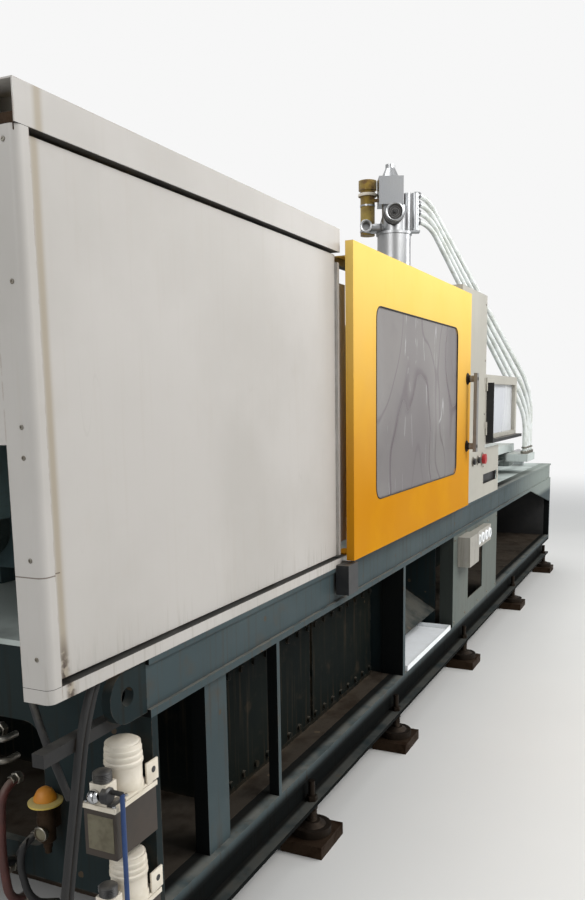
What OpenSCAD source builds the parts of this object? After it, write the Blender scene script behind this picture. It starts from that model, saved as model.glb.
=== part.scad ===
// Injection moulding machine with a ram clamp, a sliding gate and a reciprocating screw.
// X runs from the clamp end to the injection end, the operator stands on the -Y side, Z is up.
// Sizes are in millimetres. Places along the machine are counted from the clamp cover's end,
// and placed() puts the middle of the whole length over the origin.

/* [Overall] */
// Width of the base, operator side to rear side
base_w = 1400; // [1360:10:1500]
// Height of the base deck above the floor
deck_z = 990; // [960:5:1040]
// Height of the clamp and screw axis above the deck
axis_rise = 510; // [500:5:560]

/* [Lengths along the machine] */
// How far the clamp cover hangs past the base
clamp_overhang = 340; // [300:10:400]
// Clamp cover, from its end to the closed gate
cover_len = 1570; // [1540:10:1650]
// Length of the sliding gate
gate_len = 1750; // [1700:10:1790]
// Length of the fixed operator panel
operator_len = 605; // [590:5:640]
// Length of the hinged barrel guard
guard_len = 1025; // [960:5:1100]
// Base beyond the barrel guard
tail_len = 1750; // [1650:10:1850]

/* [Base frame] */
// Underside of the base above the floor
base_lift = 150; // [135:5:165]
// Height of the bottom rail
rail_h = 177; // [160:1:200]
// Depth of the bottom rail's flanges
rail_flange = 69; // [60:1:80]
// Thickness of the bottom rail's top flange
rail_top_t = 42; // [30:1:50]
// Thickness of the bottom rail's lower flange
rail_foot_t = 15; // [12:1:18]
// Thickness of the rails' upright webs
web_t = 14; // [10:1:20]
// Height of the top rail
beam_h = 148; // [120:1:170]
// Depth of the top rail's flanges
beam_flange = 90; // [80:1:110]
// Thickness of the top rail's lower flange
beam_foot_t = 20; // [16:1:24]
// Thickness of the top rail's upper flange
beam_top_t = 15; // [12:1:20]
// How far the top rail's web stands back from its edge
web_setback = 10; // [5:1:20]
// Thickness of the floor plate between the bottom rails
floor_t = 12; // [8:1:16]
// Thickness of the end bulkhead
end_plate_t = 26; // [20:1:30]
// Thickness of the inner bulkheads
bulkhead_t = 12; // [10:1:16]
// Length of the chamfer over the injection end's opening
chamfer_len = 1040; // [900:10:1100]
// Depth of the chamfer over the injection end's opening
chamfer_h = 200; // [150:10:240]

/* [Base uprights] */
// Flat upright: place from the base's clamp end
flat_post_at = 278; // [270:1:300]
// Flat upright: width and depth
flat_post = [117, 45]; // [30:1:130]
// Flat upright: how far it stands back from the rail's edge
flat_post_setback = 20; // [15:1:23]
// Thin upright: place from the base's clamp end
thin_post_at = 680; // [660:1:720]
// Thin upright: width and depth
thin_post = [20, 35]; // [16:1:60]
// Drop bay's near upright: width and depth
bay_post = [31, 104]; // [25:1:120]
// Start of the drop bay, counted back from the mould face
bay_from = 874; // [850:1:890]
// Width of the drop bay
bay_w = 858; // [840:1:865]

/* [Service panel] */
// Length of the closed panel after the drop bay
service_len = 1139; // [1120:1:1160]
// Thickness of the base's side sheets
side_sheet_t = 6; // [4:1:8]
// Depth of the side sheet's folded edges
side_fold = 75; // [60:1:90]
// Square hole: place from the panel's start
hatch_at = 346; // [330:1:360]
// Square hole: width and height
hatch = [370, 280]; // [250:1:380]
// Square hole: lower edge above the floor
hatch_z = 415; // [400:1:430]
// Socket strip: length, depth and height
socket_strip = [380, 45, 100]; // [40:1:400]
// Junction box: length, depth and height
junction = [220, 70, 170]; // [60:1:240]

/* [Feet] */
// Feet, places from the base's clamp end
foot_at = [140, 990, 1950, 3240, 4770]; // [100:10:4900]
// Last foot, in from the base's injection end
last_foot = 120; // [100:10:200]
// Stud axis, in from the base's side
foot_inset = 25; // [22:1:30]
// Floor block: length, width and thickness
foot_block = [200, 160, 45]; // [40:1:220]
// Radius of the levelling pad
pad_r = 70; // [60:1:75]
// Height of the levelling pad
pad_h = 30; // [25:1:35]
// Radius of the levelling stud
stud_r = 12; // [10:1:14]
// Length of the levelling stud above its pad
stud_len = 165; // [150:1:170]
// Height of a levelling nut
nut_h = 19; // [16:1:22]

/* [Clamp] */
// Platen height and width
platen_w = 900; // [880:10:920]
// Thickness of the stationary platen
fixed_platen_t = 280; // [260:10:300]
// Thickness of the moving platen
moving_platen_t = 260; // [240:10:280]
// Thickness of the rear platen
rear_platen_t = 250; // [230:10:270]
// Open distance between the mould faces
daylight = 950; // [930:10:960]
// Travel of the moving platen
clamp_stroke = 650; // [600:10:680]
// Distance between tie bar axes
tie_pitch = 620; // [600:10:640]
// Radius of the tie bars
tie_r = 55; // [50:1:60]
// Free length between rear platen and moving platen
ram_out = 910; // [890:10:930]
// Radius of the clamp ram
ram_r = 160; // [150:1:170]
// Radius of the clamp cylinder
cylinder_r = 235; // [225:1:240]
// Length of the clamp cylinder behind the rear platen
cylinder_len = 650; // [620:10:660]
// Width of a slideway
slideway_w = 100; // [90:1:110]
// Height of a slideway
slideway_h = 30; // [25:1:35]
// Distance between slideway centres
slideway_pitch = 740; // [725:5:760]
// Radius of the locating ring's seat
locating_r = 80; // [75:1:85]
// Depth of the locating ring's seat
locating_h = 30; // [25:1:35]
// Radius of the opening for the barrel in the stationary platen
barrel_well_r = 120; // [115:1:130]
// Mould bolt pitch, on a square
mould_bolt_pitch = 350; // [330:10:360]
// Radius of the mould bolt holes
mould_bolt_r = 10; // [8:1:12]
// Depth of the mould bolt holes
mould_bolt_depth = 50; // [40:1:60]
// Radius of the ejector rod
ejector_r = 25; // [22:1:28]
// Travel of the ejector rod
ejector_stroke = 150; // [120:10:160]

/* [Clamp cover] */
// Height of the cover above the deck
cover_h = 1200; // [1190:5:1230]
// Thickness of cover sheets
sheet_t = 3; // [2:0.5:4]
// Height of the cover's upper edge band
roof_band_h = 79; // [70:1:90]
// Height of the cover's lower edge strip
sill_h = 31; // [28:1:36]
// Depth of the cover's frame, in from the side
frame_depth = 60; // [50:1:70]
// How far the side panel stands back from the frame
panel_setback = 14; // [10:1:18]
// Height of the shadow slot over and under the side panel
panel_slot = 9; // [6:1:12]
// Width of the corner post on its end face
corner_w = 72; // [60:1:80]
// Radius of the corner post's rounded edge
corner_r = 18; // [12:1:22]
// Lower edge of the end panel above the deck
end_panel_from = 530; // [500:10:560]

/* [Gate] */
// How far the gate's face stands in front of the base's side
gate_proud = 50; // [48:1:56]
// Thickness of the gate shell
gate_t = 30; // [26:1:32]
// Lower edge of the gate above the deck
gate_lift = 20; // [16:1:24]
// Height of the gate
gate_h = 1140; // [1120:5:1150]
// Window: place along the gate and above its lower edge
window_at = [240, 200]; // [180:1:260]
// Window: length and height
window = [1225, 740]; // [700:1:1240]
// Radius of the window's corners
window_r = 55; // [30:1:70]
// Thickness of the clear sheet
pane_t = 5; // [4:1:6]
// Travel of the gate
gate_stroke = 1400; // [1300:10:1450]
// Height of a gate track
track_h = 26; // [22:1:30]
// Handle bar: height, width and depth
handle = [420, 40, 18]; // [16:1:440]
// Radius of the handle's stand-offs
standoff_r = 17; // [14:1:20]
// Length of the handle's stand-offs
standoff_len = 40; // [30:1:45]
// Stop block: length, depth and height
stop_block = [95, 50, 110]; // [40:1:120]
// Gate hangers: length and thickness
hanger = [100, 5]; // [4:1:120]

/* [Operator panel] */
// Height of the fixed panel above the deck
operator_h = 1215; // [1190:5:1225]
// Lower skirt beyond the fixed panel: length and height
skirt = [415, 300]; // [280:5:440]
// Vent slot: place from the panel's start and above the deck
vent_at = [580, 78]; // [70:2:600]
// Vent slot: length and height
vent = [400, 60]; // [50:2:420]
// Push buttons, places from the panel's start
button_at = [300, 420, 540]; // [200:10:600]
// Height of the push buttons above the deck
button_z = 238; // [220:1:260]
// Radius of a push button's cap
button_r = 19; // [16:1:22]
// Radius of the stop button's head
stop_r = 30; // [26:1:34]
// Travel of a push button
button_travel = 5; // [4:1:6]

/* [Barrel guard] */
// Height of the guard
guard_h = 430; // [400:10:460]
// Thickness of the guard's frame
guard_t = 30; // [26:1:34]
// Width of the guard's frame
guard_frame = 55; // [45:1:60]
// Rubber lip: how far it stands out, its thickness, and its height on the guard's edge
lip = [45, 9, 370]; // [8:1:400]

/* [Injection unit] */
// Radius of the barrel
barrel_r = 65; // [60:1:70]
// Radius of the barrel's bore
bore_r = 28; // [26:1:30]
// Length of the barrel in front of the feed block
barrel_len = 700; // [680:10:720]
// Length of the nozzle
nozzle_len = 140; // [130:5:150]
// Gap between the nozzle and the mould face's seat
nozzle_gap = 30; // [20:5:35]
// Feed block: length, width and height
feed_block = [360, 640, 420]; // [340:10:660]
// Feed throat, back from the feed block's front face
throat_at = 150; // [140:5:170]
// Radius of the feed throat
throat_r = 30; // [26:1:34]
// Length of a heater band
band_len = 120; // [100:5:130]
// Gap between heater bands
band_gap = 35; // [30:1:45]
// Thickness of a heater band
band_t = 14; // [10:1:18]
// Travel of the carriage, away from the mould
carriage_stroke = 300; // [250:10:320]
// Travel of the screw
screw_stroke = 320; // [280:10:330]
// Radius of the carriage's guide rods
guide_r = 35; // [30:1:40]
// Distance between the carriage's guide rods
guide_pitch = 900; // [880:10:940]
// Height of the guide rods' axes above the deck
guide_z = 110; // [100:5:120]
// Distance between the injection cylinders' axes
shot_pitch = 460; // [450:10:470]
// Radius of an injection cylinder
shot_r = 60; // [55:1:65]
// Length of an injection cylinder
shot_len = 460; // [440:10:480]
// Thickness of the crosshead
crosshead_t = 180; // [160:10:190]
// Length of the screw's drive motor
drive_len = 330; // [300:10:350]
// Radius of the screw's drive motor
drive_r = 130; // [120:1:140]
// Turn of the screw's flight, along the screw
flight_pitch = 62; // [56:1:70]

/* [Material tower] */
// Radius of the hopper
hopper_r = 200; // [180:5:210]
// Height of the hopper's cone
cone_h = 300; // [280:10:320]
// Height of the hopper's straight wall
hopper_h = 340; // [320:10:360]
// Radius of the loader's drum
drum_r = 110; // [100:5:120]
// Height of the loader's drum
drum_h = 285; // [270:5:300]
// Height of the loader's motor housing
head_h = 170; // [160:10:190]
// Loader's filter box: width, depth and height
filter_box = [160, 150, 175]; // [130:5:200]
// Radius of the suction motor
motor_r = 60; // [52:1:64]
// Radius of the filter sleeve
sleeve_r = 48; // [42:1:52]
// Height of the filter sleeve
sleeve_h = 290; // [270:10:310]
// Radius of a loader hose
hose_r = 17; // [14:1:18]
// Number of loader hoses
hose_count = 4; // [2:1:4]
// Slope of the lowest loader hose
hose_slope = 47; // [45:1:48]

/* [Lubrication] */
// Mounting plate: length, width and thickness
lube_plate = [168, 95, 12]; // [10:1:180]
// Upper pump: top of its plate above the floor
lube_z = 685; // [670:5:700]
// Drop from one pump to the next
lube_step = 285; // [280:5:300]
// Height of the reservoir
lube_tank_h = 117; // [110:1:125]
// Radius of the pump's motor cap
lube_cap_r = 43; // [40:1:45]
// Height of the pump's motor cap
lube_cap_h = 118; // [110:1:125]
// Radius of a thick black hose
thick_hose_r = 8.5; // [7:0.5:12]
// Radius of the thin tube
thin_tube_r = 5; // [4:0.5:6]

/* [Hidden] */
$fn = 48;
coarse = 8;

// Clearances
running = 0.05;     // round shaft in its bore
sliding = 0.3;      // between parts that slide past each other
loose = 1;          // bolt or stud in its hole, and how far a cut runs past a face

// Overall places, counted from the clamp cover's end
half_w = base_w / 2;
base_from = clamp_overhang;
operator_from = cover_len + gate_len;
guard_from = operator_from + operator_len;
machine_len = guard_from + guard_len + tail_len;
base_len = machine_len - base_from;
axis_z = deck_z + axis_rise;
rail_top = base_lift + rail_h;
beam_bottom = deck_z - beam_h;
cover_top = deck_z + cover_h;

// Clamp places
mould_back_in = 100;
mould_face = operator_from - mould_back_in;
moving_face = mould_face - daylight;
moving_back = moving_face - moving_platen_t;
rear_face = moving_back - ram_out;
rear_back = rear_face - rear_platen_t;
cylinder_from = rear_back - cylinder_len;
tie_y = tie_pitch / 2;
bay_start = mould_face - bay_from;
bay_end = bay_start + bay_w;
service_end = bay_end + service_len;
platen_corner_r = 60;
feet = concat(foot_at, [base_len - last_foot]);

// Injection places
nozzle_tip = mould_face + nozzle_gap;
barrel_from = nozzle_tip + nozzle_len;
block_from = barrel_from + barrel_len;
block_to = block_from + feed_block.x;
block_top = axis_z + feed_block.z / 2;
throat_x = block_from + throat_at;
shot_to = block_to + shot_len;
head_gap = 20;
crosshead_from = shot_to + head_gap;
crosshead_to = crosshead_from + crosshead_t;
column_to = crosshead_to + screw_stroke + head_gap;
tail_plate_t = 40;
column_y = 150;
column_r = 30;
rod_r = 25;
shaft_r = 24;
drive_seat = 60;

base_blue = [0.30, 0.38, 0.39];
cover_cream = [0.80, 0.79, 0.76];
gate_yellow = [0.96, 0.72, 0.08];
panel_grey = [0.74, 0.74, 0.72];
steel = [0.62, 0.63, 0.64];
bright = [0.80, 0.81, 0.83];
black = [0.06, 0.06, 0.07];
clear = [0.75, 0.78, 0.80, 0.6];
rusty = [0.20, 0.13, 0.09];
cast_blue = [0.26, 0.40, 0.42];

// Puts places counted from the clamp cover's end over the origin
module placed() { translate([-machine_len / 2, 0, 0]) children(); }

// The same shape on the operator side and on the rear side
module both_sides() {
    children();
    mirror([0, 1, 0]) children();
}

// Block between two corners
module block(from, to) { translate(from) cube(to - from); }

// Rods along each axis
module rod_x(r, from, to, y, z) {
    translate([from, y, z]) rotate([0, 90, 0]) cylinder(r = r, h = to - from);
}
module rod_y(r, x, from, to, z) {
    translate([x, to, z]) rotate([90, 0, 0]) cylinder(r = r, h = to - from);
}
module rod_z(r, x, y, from, to) { translate([x, y, from]) cylinder(r = r, h = to - from); }

// A profile drawn in Y and Z, run along X
module along_x(from, to) {
    translate([from, 0, 0]) rotate([90, 0, 90]) linear_extrude(to - from) children();
}

// A profile drawn in X and Z, with thickness from y towards +Y
module wall_y(y, t) { translate([0, y + t, 0]) rotate([90, 0, 0]) linear_extrude(t) children(); }

// Rectangle between two corners, with rounded corners
module round_rect(from, to, r) {
    size = to - from;
    translate(from + [r, 0]) square([size.x - 2 * r, size.y]);
    translate(from + [0, r]) square([size.x, size.y - 2 * r]);
    for (x = [r, size.x - r], y = [r, size.y - r]) translate(from + [x, y]) circle(r);
}

// Rectangle between two corners
module rect(from, to) { translate(from) square(to - from); }

// The four places of a square pattern, in Y and Z round the machine's axis
module on_square(pitch) {
    for (y = [-1, 1], z = [-1, 1])
        translate([0, y * pitch / 2, axis_z + z * pitch / 2]) children();
}

// Base

module bottom_rails() {
    color(base_blue) placed() both_sides() difference() {
        along_x(base_from, machine_len) translate([-half_w, base_lift]) {
            square([rail_flange, rail_foot_t]);
            translate([rail_flange - web_t, 0]) square([web_t, rail_h]);
            translate([0, rail_h - rail_top_t]) square([rail_flange, rail_top_t]);
        }
        for (x = feet)
            rod_z(stud_r + loose, base_from + x, -half_w + foot_inset, base_lift - loose,
                base_lift + rail_foot_t + loose);
    }
}

module base_plates() {
    inner = half_w - rail_flange;
    deck_half = half_w - beam_flange;
    color(base_blue) placed() {
        block([base_from, -inner, rail_top - floor_t], [machine_len, inner, rail_top]);
        difference() {
            block([base_from, -deck_half, deck_z - beam_top_t], [machine_len, deck_half, deck_z]);
            block([bay_start, -tie_y, deck_z - beam_h], [bay_end, tie_y, deck_z + loose]);
        }
        for (side = [-1, 1])
            translate([0, side * slideway_pitch / 2, 0])
                block([moving_back - slideway_w, -slideway_w / 2, deck_z],
                    [bay_end - slideway_w / 2, slideway_w / 2, deck_z + slideway_h]);
    }
}

module top_rails() {
    color(base_blue) placed() both_sides() along_x(base_from, machine_len)
        translate([-half_w, beam_bottom]) {
            square([beam_flange, beam_foot_t]);
            translate([web_setback, 0]) square([web_t, beam_h]);
            translate([0, beam_h - beam_top_t]) square([beam_flange, beam_top_t]);
        }
}

module upright(x, size, setback) {
    block([x, -half_w + setback, rail_top], [x + size.x, -half_w + setback + size.y, beam_bottom]);
}

module base_posts() {
    color(base_blue) placed() both_sides() {
        upright(base_from + flat_post_at, flat_post, flat_post_setback);
        upright(base_from + thin_post_at, thin_post, 0);
        upright(bay_start - bay_post.x, bay_post, 0);
    }
}

bay_wall_a = bay_start - bay_post.x / 2;
bay_wall_b = bay_end + side_sheet_t;

// Outline of a cross plate: wide below the top rails, narrow between them
module cross_outline(half_top) {
    rect([-half_w, rail_top], [half_w, beam_bottom]);
    rect([-half_top, rail_top], [half_top, deck_z - beam_top_t]);
}

module bulkheads() {
    half_top = half_w - beam_flange;
    window_half = half_w / 2;
    window_in = [90, 70];       // up from the floor plate, down from the top rails
    window_corner = 60;
    lug_r = 65;
    lug_hole_r = 23;
    lug_t = 25;
    lug_gap = [10, 5];          // to the base's end and to the deck
    lug_x = base_from - lug_r - lug_gap.x;
    lug_z = deck_z - lug_r - lug_gap.y;
    color(base_blue) placed() {
        along_x(base_from, base_from + end_plate_t) difference() {
            cross_outline(half_top);
            round_rect([-window_half, rail_top + window_in.x], [window_half, beam_bottom - window_in.y],
                window_corner);
        }
        for (x = [bay_wall_a, bay_wall_b])
            along_x(x, x + bulkhead_t)
                rect([-half_w + bay_post.y, rail_top], [half_w - bay_post.y, deck_z - beam_top_t]);
        both_sides() wall_y(-half_w + web_setback, lug_t) difference() {
            union() {
                translate([lug_x, lug_z]) circle(lug_r);
                rect([lug_x, lug_z - lug_r], [base_from, lug_z + lug_r]);
            }
            translate([lug_x, lug_z]) circle(lug_hole_r);
        }
    }
}

module end_frame() {
    window_in = [140, 80];      // from the sides, up from the floor plate
    window_corner = 60;
    window_half = half_w - window_in.x;
    weld_x = machine_len - end_plate_t / 2;
    color(base_blue) placed() {
        along_x(machine_len - end_plate_t, machine_len) difference() {
            rect([-half_w, rail_top], [half_w, beam_bottom]);
            round_rect([-window_half, rail_top + window_in.y], [window_half, beam_bottom - chamfer_h],
                window_corner);
        }
        both_sides() wall_y(-half_w, side_sheet_t * 2) polygon([
            [machine_len - chamfer_len, beam_bottom],
            [weld_x, beam_bottom],
            [weld_x, beam_bottom - chamfer_h]
        ]);
    }
}

module base_side_panels() {
    color(base_blue) placed() difference() {
        both_sides() {
            wall_y(-half_w, side_sheet_t) rect([bay_end, rail_top], [service_end, beam_bottom]);
            for (x = [bay_end, service_end - side_sheet_t])
                block([x, -half_w, rail_top], [x + side_sheet_t, -half_w + side_fold, beam_bottom]);
        }
        both_sides() wall_y(-half_w - side_sheet_t, side_sheet_t * 3)
            rect([bay_end + hatch_at, hatch_z], [bay_end + hatch_at + hatch.x, hatch_z + hatch.y]);
    }
}

module electrical_boxes() {
    strip_in = 20;              // from the hatch's end
    strip_gap = 21;             // over the hatch
    box_gap = 50;               // box to strip
    box_drop = 60;              // box under the strip's foot
    sockets = 4;
    socket_r = 20;
    socket_deep = 12;
    strip_x = bay_end + hatch_at + strip_in;
    strip_z = hatch_z + hatch.y + strip_gap;
    strip_face = -half_w - socket_strip.y;
    color(panel_grey) placed() {
        difference() {
            translate([strip_x, strip_face, strip_z]) cube(socket_strip);
            for (i = [0:sockets - 1])
                rod_y(socket_r, strip_x + (i + 0.5) * socket_strip.x / sockets, strip_face - loose,
                    strip_face + socket_deep, strip_z + socket_strip.z / 2);
        }
        translate([strip_x - box_gap - junction.x, -half_w - junction.y, strip_z - box_drop]) cube(junction);
    }
}

// The oil tank stands on the floor plate, well inside the uprights
tank_in = [165, 65, 150, 60];    // from the flat upright, the drop bay, the side and the top rails
tank_x = [base_from + flat_post_at + flat_post.x + tank_in[0], bay_start - tank_in[1]];
tank_half = half_w - tank_in[2];
tank_top = beam_bottom - tank_in[3];
cover_gap = 24;
cover_t = 10;

module oil_tank() {
    color(cast_blue) placed() block([tank_x[0], -tank_half, rail_top], [tank_x[1], tank_half, tank_top]);
}

module tank_covers() {
    bolt_r = 11;
    bolt_h = 9;
    bolts = 8;
    edge = 22;
    len = (tank_x[1] - tank_x[0] - 3 * cover_gap) / 2;
    high = tank_top - rail_top - 2 * cover_gap;
    color(base_blue) placed() for (i = [0, 1]) {
        x = tank_x[0] + cover_gap + i * (len + cover_gap);
        z = rail_top + cover_gap;
        block([x, -tank_half - cover_t, z], [x + len, -tank_half, z + high]);
        for (k = [0:bolts - 1], row = [0, 1])
            rod_y(bolt_r, x + edge + k * (len - 2 * edge) / (bolts - 1), -tank_half - cover_t - bolt_h,
                -tank_half - cover_t, z + edge + row * (high - 2 * edge));
    }
}

// Electric motor and oil pump on the floor plate under the injection unit
module pump_set() {
    motor_half = 150;
    motor_len = 420;
    pump_half = 75;
    pump_len = 240;
    ribs = 7;
    rib = [22, 30, 8];          // thickness, gap and height
    foot = [360, 300, 30];
    x = service_end + foot.x;
    z = rail_top + foot.z + motor_half;
    color(cast_blue) placed() {
        block([x, -foot.y / 2, rail_top], [x + foot.x, foot.y / 2, rail_top + foot.z + motor_half]);
        rod_x(motor_half, x, x + motor_len, 0, z);
        rod_x(pump_half, x + motor_len, x + motor_len + pump_len, 0, z);
        for (i = [0:ribs - 1])
            translate([x + rib.y + i * (rib.x + rib.y), 0, 0]) rod_x(motor_half + rib.z, 0, rib.x, 0, z);
    }
}

// Two sloping sheets that lead the mouldings down to the operator side
module drop_chute() {
    wall = 4;
    edge = [-half_w + bay_post.y, rail_top + 90];
    under = deck_z - beam_top_t;
    color(cast_blue) placed() along_x(bay_wall_a + bulkhead_t, bay_wall_b) {
        polygon([edge, edge + [0, wall], [tie_y, under], [tie_y + wall * 2, under]]);
    }
}

module drop_tray() {
    wall = 3;
    rim = 26;
    deep = 330;
    inset = 40;
    color([0.9, 0.9, 0.9]) placed() difference() {
        block([bay_start + inset, -half_w, rail_top], [bay_end - inset, -half_w + deep, rail_top + rim]);
        block([bay_start + inset + wall, -half_w + wall, rail_top + wall],
            [bay_end - inset - wall, -half_w + deep - wall, rail_top + rim + loose]);
    }
}

// Feet

module at_feet() {
    for (x = feet) both_sides() translate([base_from + x, -half_w + foot_inset, 0]) children();
}

module foot_blocks() {
    color(rusty) placed() at_feet()
        translate([-foot_block.x / 2, -foot_block.y / 2, 0]) cube(foot_block);
}

module levelling_feet() {
    neck_r = 30;
    neck_h = 14;
    shoulder_r = pad_r - 20;
    nut_r = stud_r * 1.75;
    color([0.30, 0.28, 0.25]) placed() at_feet() {
        translate([0, 0, foot_block.z]) cylinder(r = pad_r, h = pad_h);
        translate([0, 0, foot_block.z + pad_h]) cylinder(r1 = shoulder_r, r2 = neck_r, h = neck_h);
        translate([0, 0, foot_block.z + pad_h]) cylinder(r = stud_r, h = stud_len);
        for (z = [base_lift - nut_h, base_lift + rail_foot_t])
            translate([0, 0, z]) cylinder(r = nut_r, h = nut_h, $fn = 6);
    }
}

// Clamp unit

// Square plate with rounded corners, in Y and Z round the machine's axis
module platen_outline() {
    half = platen_w / 2;
    translate([0, axis_z]) round_rect([-half, -half], [half, half], platen_corner_r);
}

module tie_bores(from, to, gap) {
    on_square(tie_pitch) rod_x(tie_r + gap, from, to, 0, 0);
}

module mould_bolts(from, to) {
    on_square(mould_bolt_pitch) rod_x(mould_bolt_r, from, to, 0, 0);
}

platen_foot = [180, 120];

// Feet that carry a fixed platen on the deck
module platen_feet(from, to) {
    both_sides() block([from, -platen_w / 2, deck_z], [to, -platen_w / 2 + platen_foot.x, axis_z]);
}

module rear_platen() {
    color(cast_blue) placed() difference() {
        union() {
            along_x(rear_back, rear_face) platen_outline();
            platen_feet(rear_back, rear_face);
        }
        tie_bores(rear_back - loose, rear_face + loose, running);
        rod_x(cylinder_r + sliding, rear_back - loose, rear_face - platen_foot.y / 2, 0, axis_z);
        rod_x(ram_r + sliding, rear_face - platen_foot.y, rear_face + loose, 0, axis_z);
    }
}

module clamp_cylinder() {
    cap_t = 60;
    cap_rim = [15, 20, 30];     // over the cylinder, behind it, along it
    flange_r = cylinder_r + 45;
    flange_t = 50;
    seat = rear_face - platen_foot.y / 2;
    color(cast_blue) placed() difference() {
        union() {
            rod_x(cylinder_r, cylinder_from, seat, 0, axis_z);
            rod_x(flange_r, rear_back - flange_t, rear_back, 0, axis_z);
            rod_x(cylinder_r + cap_rim.x, cylinder_from - cap_rim.y, cylinder_from + cap_rim.z, 0, axis_z);
        }
        rod_x(ram_r + sliding, cylinder_from + cap_t, seat + loose, 0, axis_z);
    }
}

tie_thread = 110;
tie_from = rear_back - tie_thread;
tie_to = mould_face + fixed_platen_t + tie_thread;

module tie_bars() {
    color(bright) placed() on_square(tie_pitch) rod_x(tie_r, tie_from, tie_to, 0, 0);
}

module tie_bar_nuts() {
    nut_t = 90;
    nut_r = 100;
    color(steel) placed() on_square(tie_pitch) for (x = [rear_back - nut_t, mould_face + fixed_platen_t])
        difference() {
            rod_x(nut_r, x, x + nut_t, 0, 0);
            rod_x(tie_r + running, x - loose, x + nut_t + loose, 0, 0);
        }
}

module stationary_platen() {
    color(cast_blue) placed() difference() {
        union() {
            along_x(mould_face, mould_face + fixed_platen_t) platen_outline();
            platen_feet(mould_face, mould_face + fixed_platen_t);
        }
        tie_bores(mould_face - loose, mould_face + fixed_platen_t + loose, running);
        rod_x(locating_r, mould_face - loose, mould_face + locating_h + loose, 0, axis_z);
        rod_x(barrel_well_r, mould_face + locating_h, mould_face + fixed_platen_t + loose, 0, axis_z);
        mould_bolts(mould_face - loose, mould_face + mould_bolt_depth);
    }
}

module moving_platen() {
    color(cast_blue) placed() difference() {
        along_x(moving_back, moving_face) platen_outline();
        tie_bores(moving_back - loose, moving_face + loose, sliding);
        rod_x(ejector_r + sliding, moving_back - loose, moving_face + loose, 0, axis_z);
        mould_bolts(moving_face - mould_bolt_depth, moving_face + loose);
    }
}

// Shoes that carry the moving platen on the slideways
module slide_shoes() {
    under = axis_z - platen_w / 2;
    top = deck_z + slideway_h;
    color(steel) placed() both_sides() translate([0, -slideway_pitch / 2, 0])
        block([moving_back, -slideway_w / 2, top + sliding], [moving_face, slideway_w / 2, under]);
}

// Pocket in the ram for the ejector's piston, how far the rod reaches back, and the room behind it
pocket_r = 70;
ejector_back = 100;
pocket_gap = 40;

module clamp_ram() {
    guided = 150;
    ram_from = rear_face - clamp_stroke - guided;
    color(bright) placed() difference() {
        rod_x(ram_r, ram_from, moving_back, 0, axis_z);
        rod_x(pocket_r, moving_back - ejector_stroke - ejector_back - pocket_gap, moving_back + loose,
            0, axis_z);
    }
}

module ejector_rod() {
    piston_t = 60;
    rod_from = moving_back - ejector_stroke - ejector_back;
    color(bright) placed() {
        rod_x(ejector_r, rod_from, moving_face, 0, axis_z);
        rod_x(pocket_r - sliding, rod_from, rod_from + piston_t, 0, axis_z);
    }
}

// Clamp cover

sill_top = deck_z + sill_h;
band_from = cover_top - roof_band_h;

module roof_cover() {
    rib = 24;
    bays = 4;
    color(cover_cream) placed() {
        block([0, -half_w, cover_top - sheet_t], [cover_len, half_w, cover_top]);
        both_sides() block([0, -half_w, band_from], [cover_len, -half_w + sheet_t, cover_top]);
        for (i = [1:bays - 1])
            block([i * cover_len / bays, -half_w + frame_depth, cover_top - rib],
                [i * cover_len / bays + rib, half_w - frame_depth, cover_top]);
    }
}

stile_w = 16;
post = [40, 40];
posts = 4;
post_step = (cover_len - corner_w - post.x) / (posts - 1);
strip_h = 12;
slot_low = sill_top + panel_slot;
slot_high = band_from - panel_slot;

// Frame round the recessed panel: lower sill, upper strip and posts behind the panel
module cover_frame() {
    block([corner_w / 2, -half_w, deck_z], [cover_len, -half_w + frame_depth, sill_top]);
    block([corner_w / 2, -half_w + sheet_t, band_from],
        [cover_len, -half_w + frame_depth, band_from + strip_h]);
    for (i = [0:posts - 1])
        translate([corner_w + i * post_step, -half_w + frame_depth, deck_z])
            cube([post.x, post.y, cover_h - sheet_t]);
}

// Recessed panel with a stile at the gate's end and stand-offs to the posts
module cover_sheet() {
    block([corner_w / 2, -half_w + panel_setback, slot_low],
        [cover_len - stile_w, -half_w + panel_setback + sheet_t, slot_high]);
    block([cover_len - stile_w, -half_w + sheet_t, slot_low],
        [cover_len, -half_w + frame_depth, slot_high - track_h]);
    for (i = [0:posts - 1])
        translate([corner_w + i * post_step, -half_w + panel_setback, 0])
            block([0, 0, slot_low + track_h], [post.x, frame_depth - panel_setback, slot_high - track_h * 2]);
}

module side_frame() { color(cover_cream) placed() cover_frame(); }
module side_panel() { color(cover_cream) placed() cover_sheet(); }
module rear_cover() {
    color(cover_cream) placed() mirror([0, 1, 0]) {
        cover_frame();
        cover_sheet();
    }
}

module end_panel() {
    fold = 25;
    low = deck_z + end_panel_from;
    high = cover_top - sheet_t;
    half = half_w - corner_w;
    color(cover_cream) placed() {
        block([0, -half, low], [sheet_t, half, high]);
        block([0, -half, low], [fold, half, low + sheet_t]);
        both_sides() block([0, -half, low], [fold, -half + sheet_t, high]);
    }
}

// Folded corner post with a rounded outer edge
module corner_posts() {
    color(cover_cream) placed() both_sides() translate([0, -half_w, deck_z])
        linear_extrude(cover_h - roof_band_h) difference() {
            union() {
                translate([corner_r, corner_r]) circle(corner_r);
                translate([0, corner_r]) square([corner_w / 2, corner_w - corner_r]);
                translate([corner_r, 0]) square([corner_w / 2 - corner_r, corner_w]);
            }
            translate([sheet_t, sheet_t + corner_r]) square([corner_w, corner_w]);
            translate([sheet_t + corner_r, sheet_t]) square([corner_w, corner_w]);
        }
}

// Gate

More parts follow.
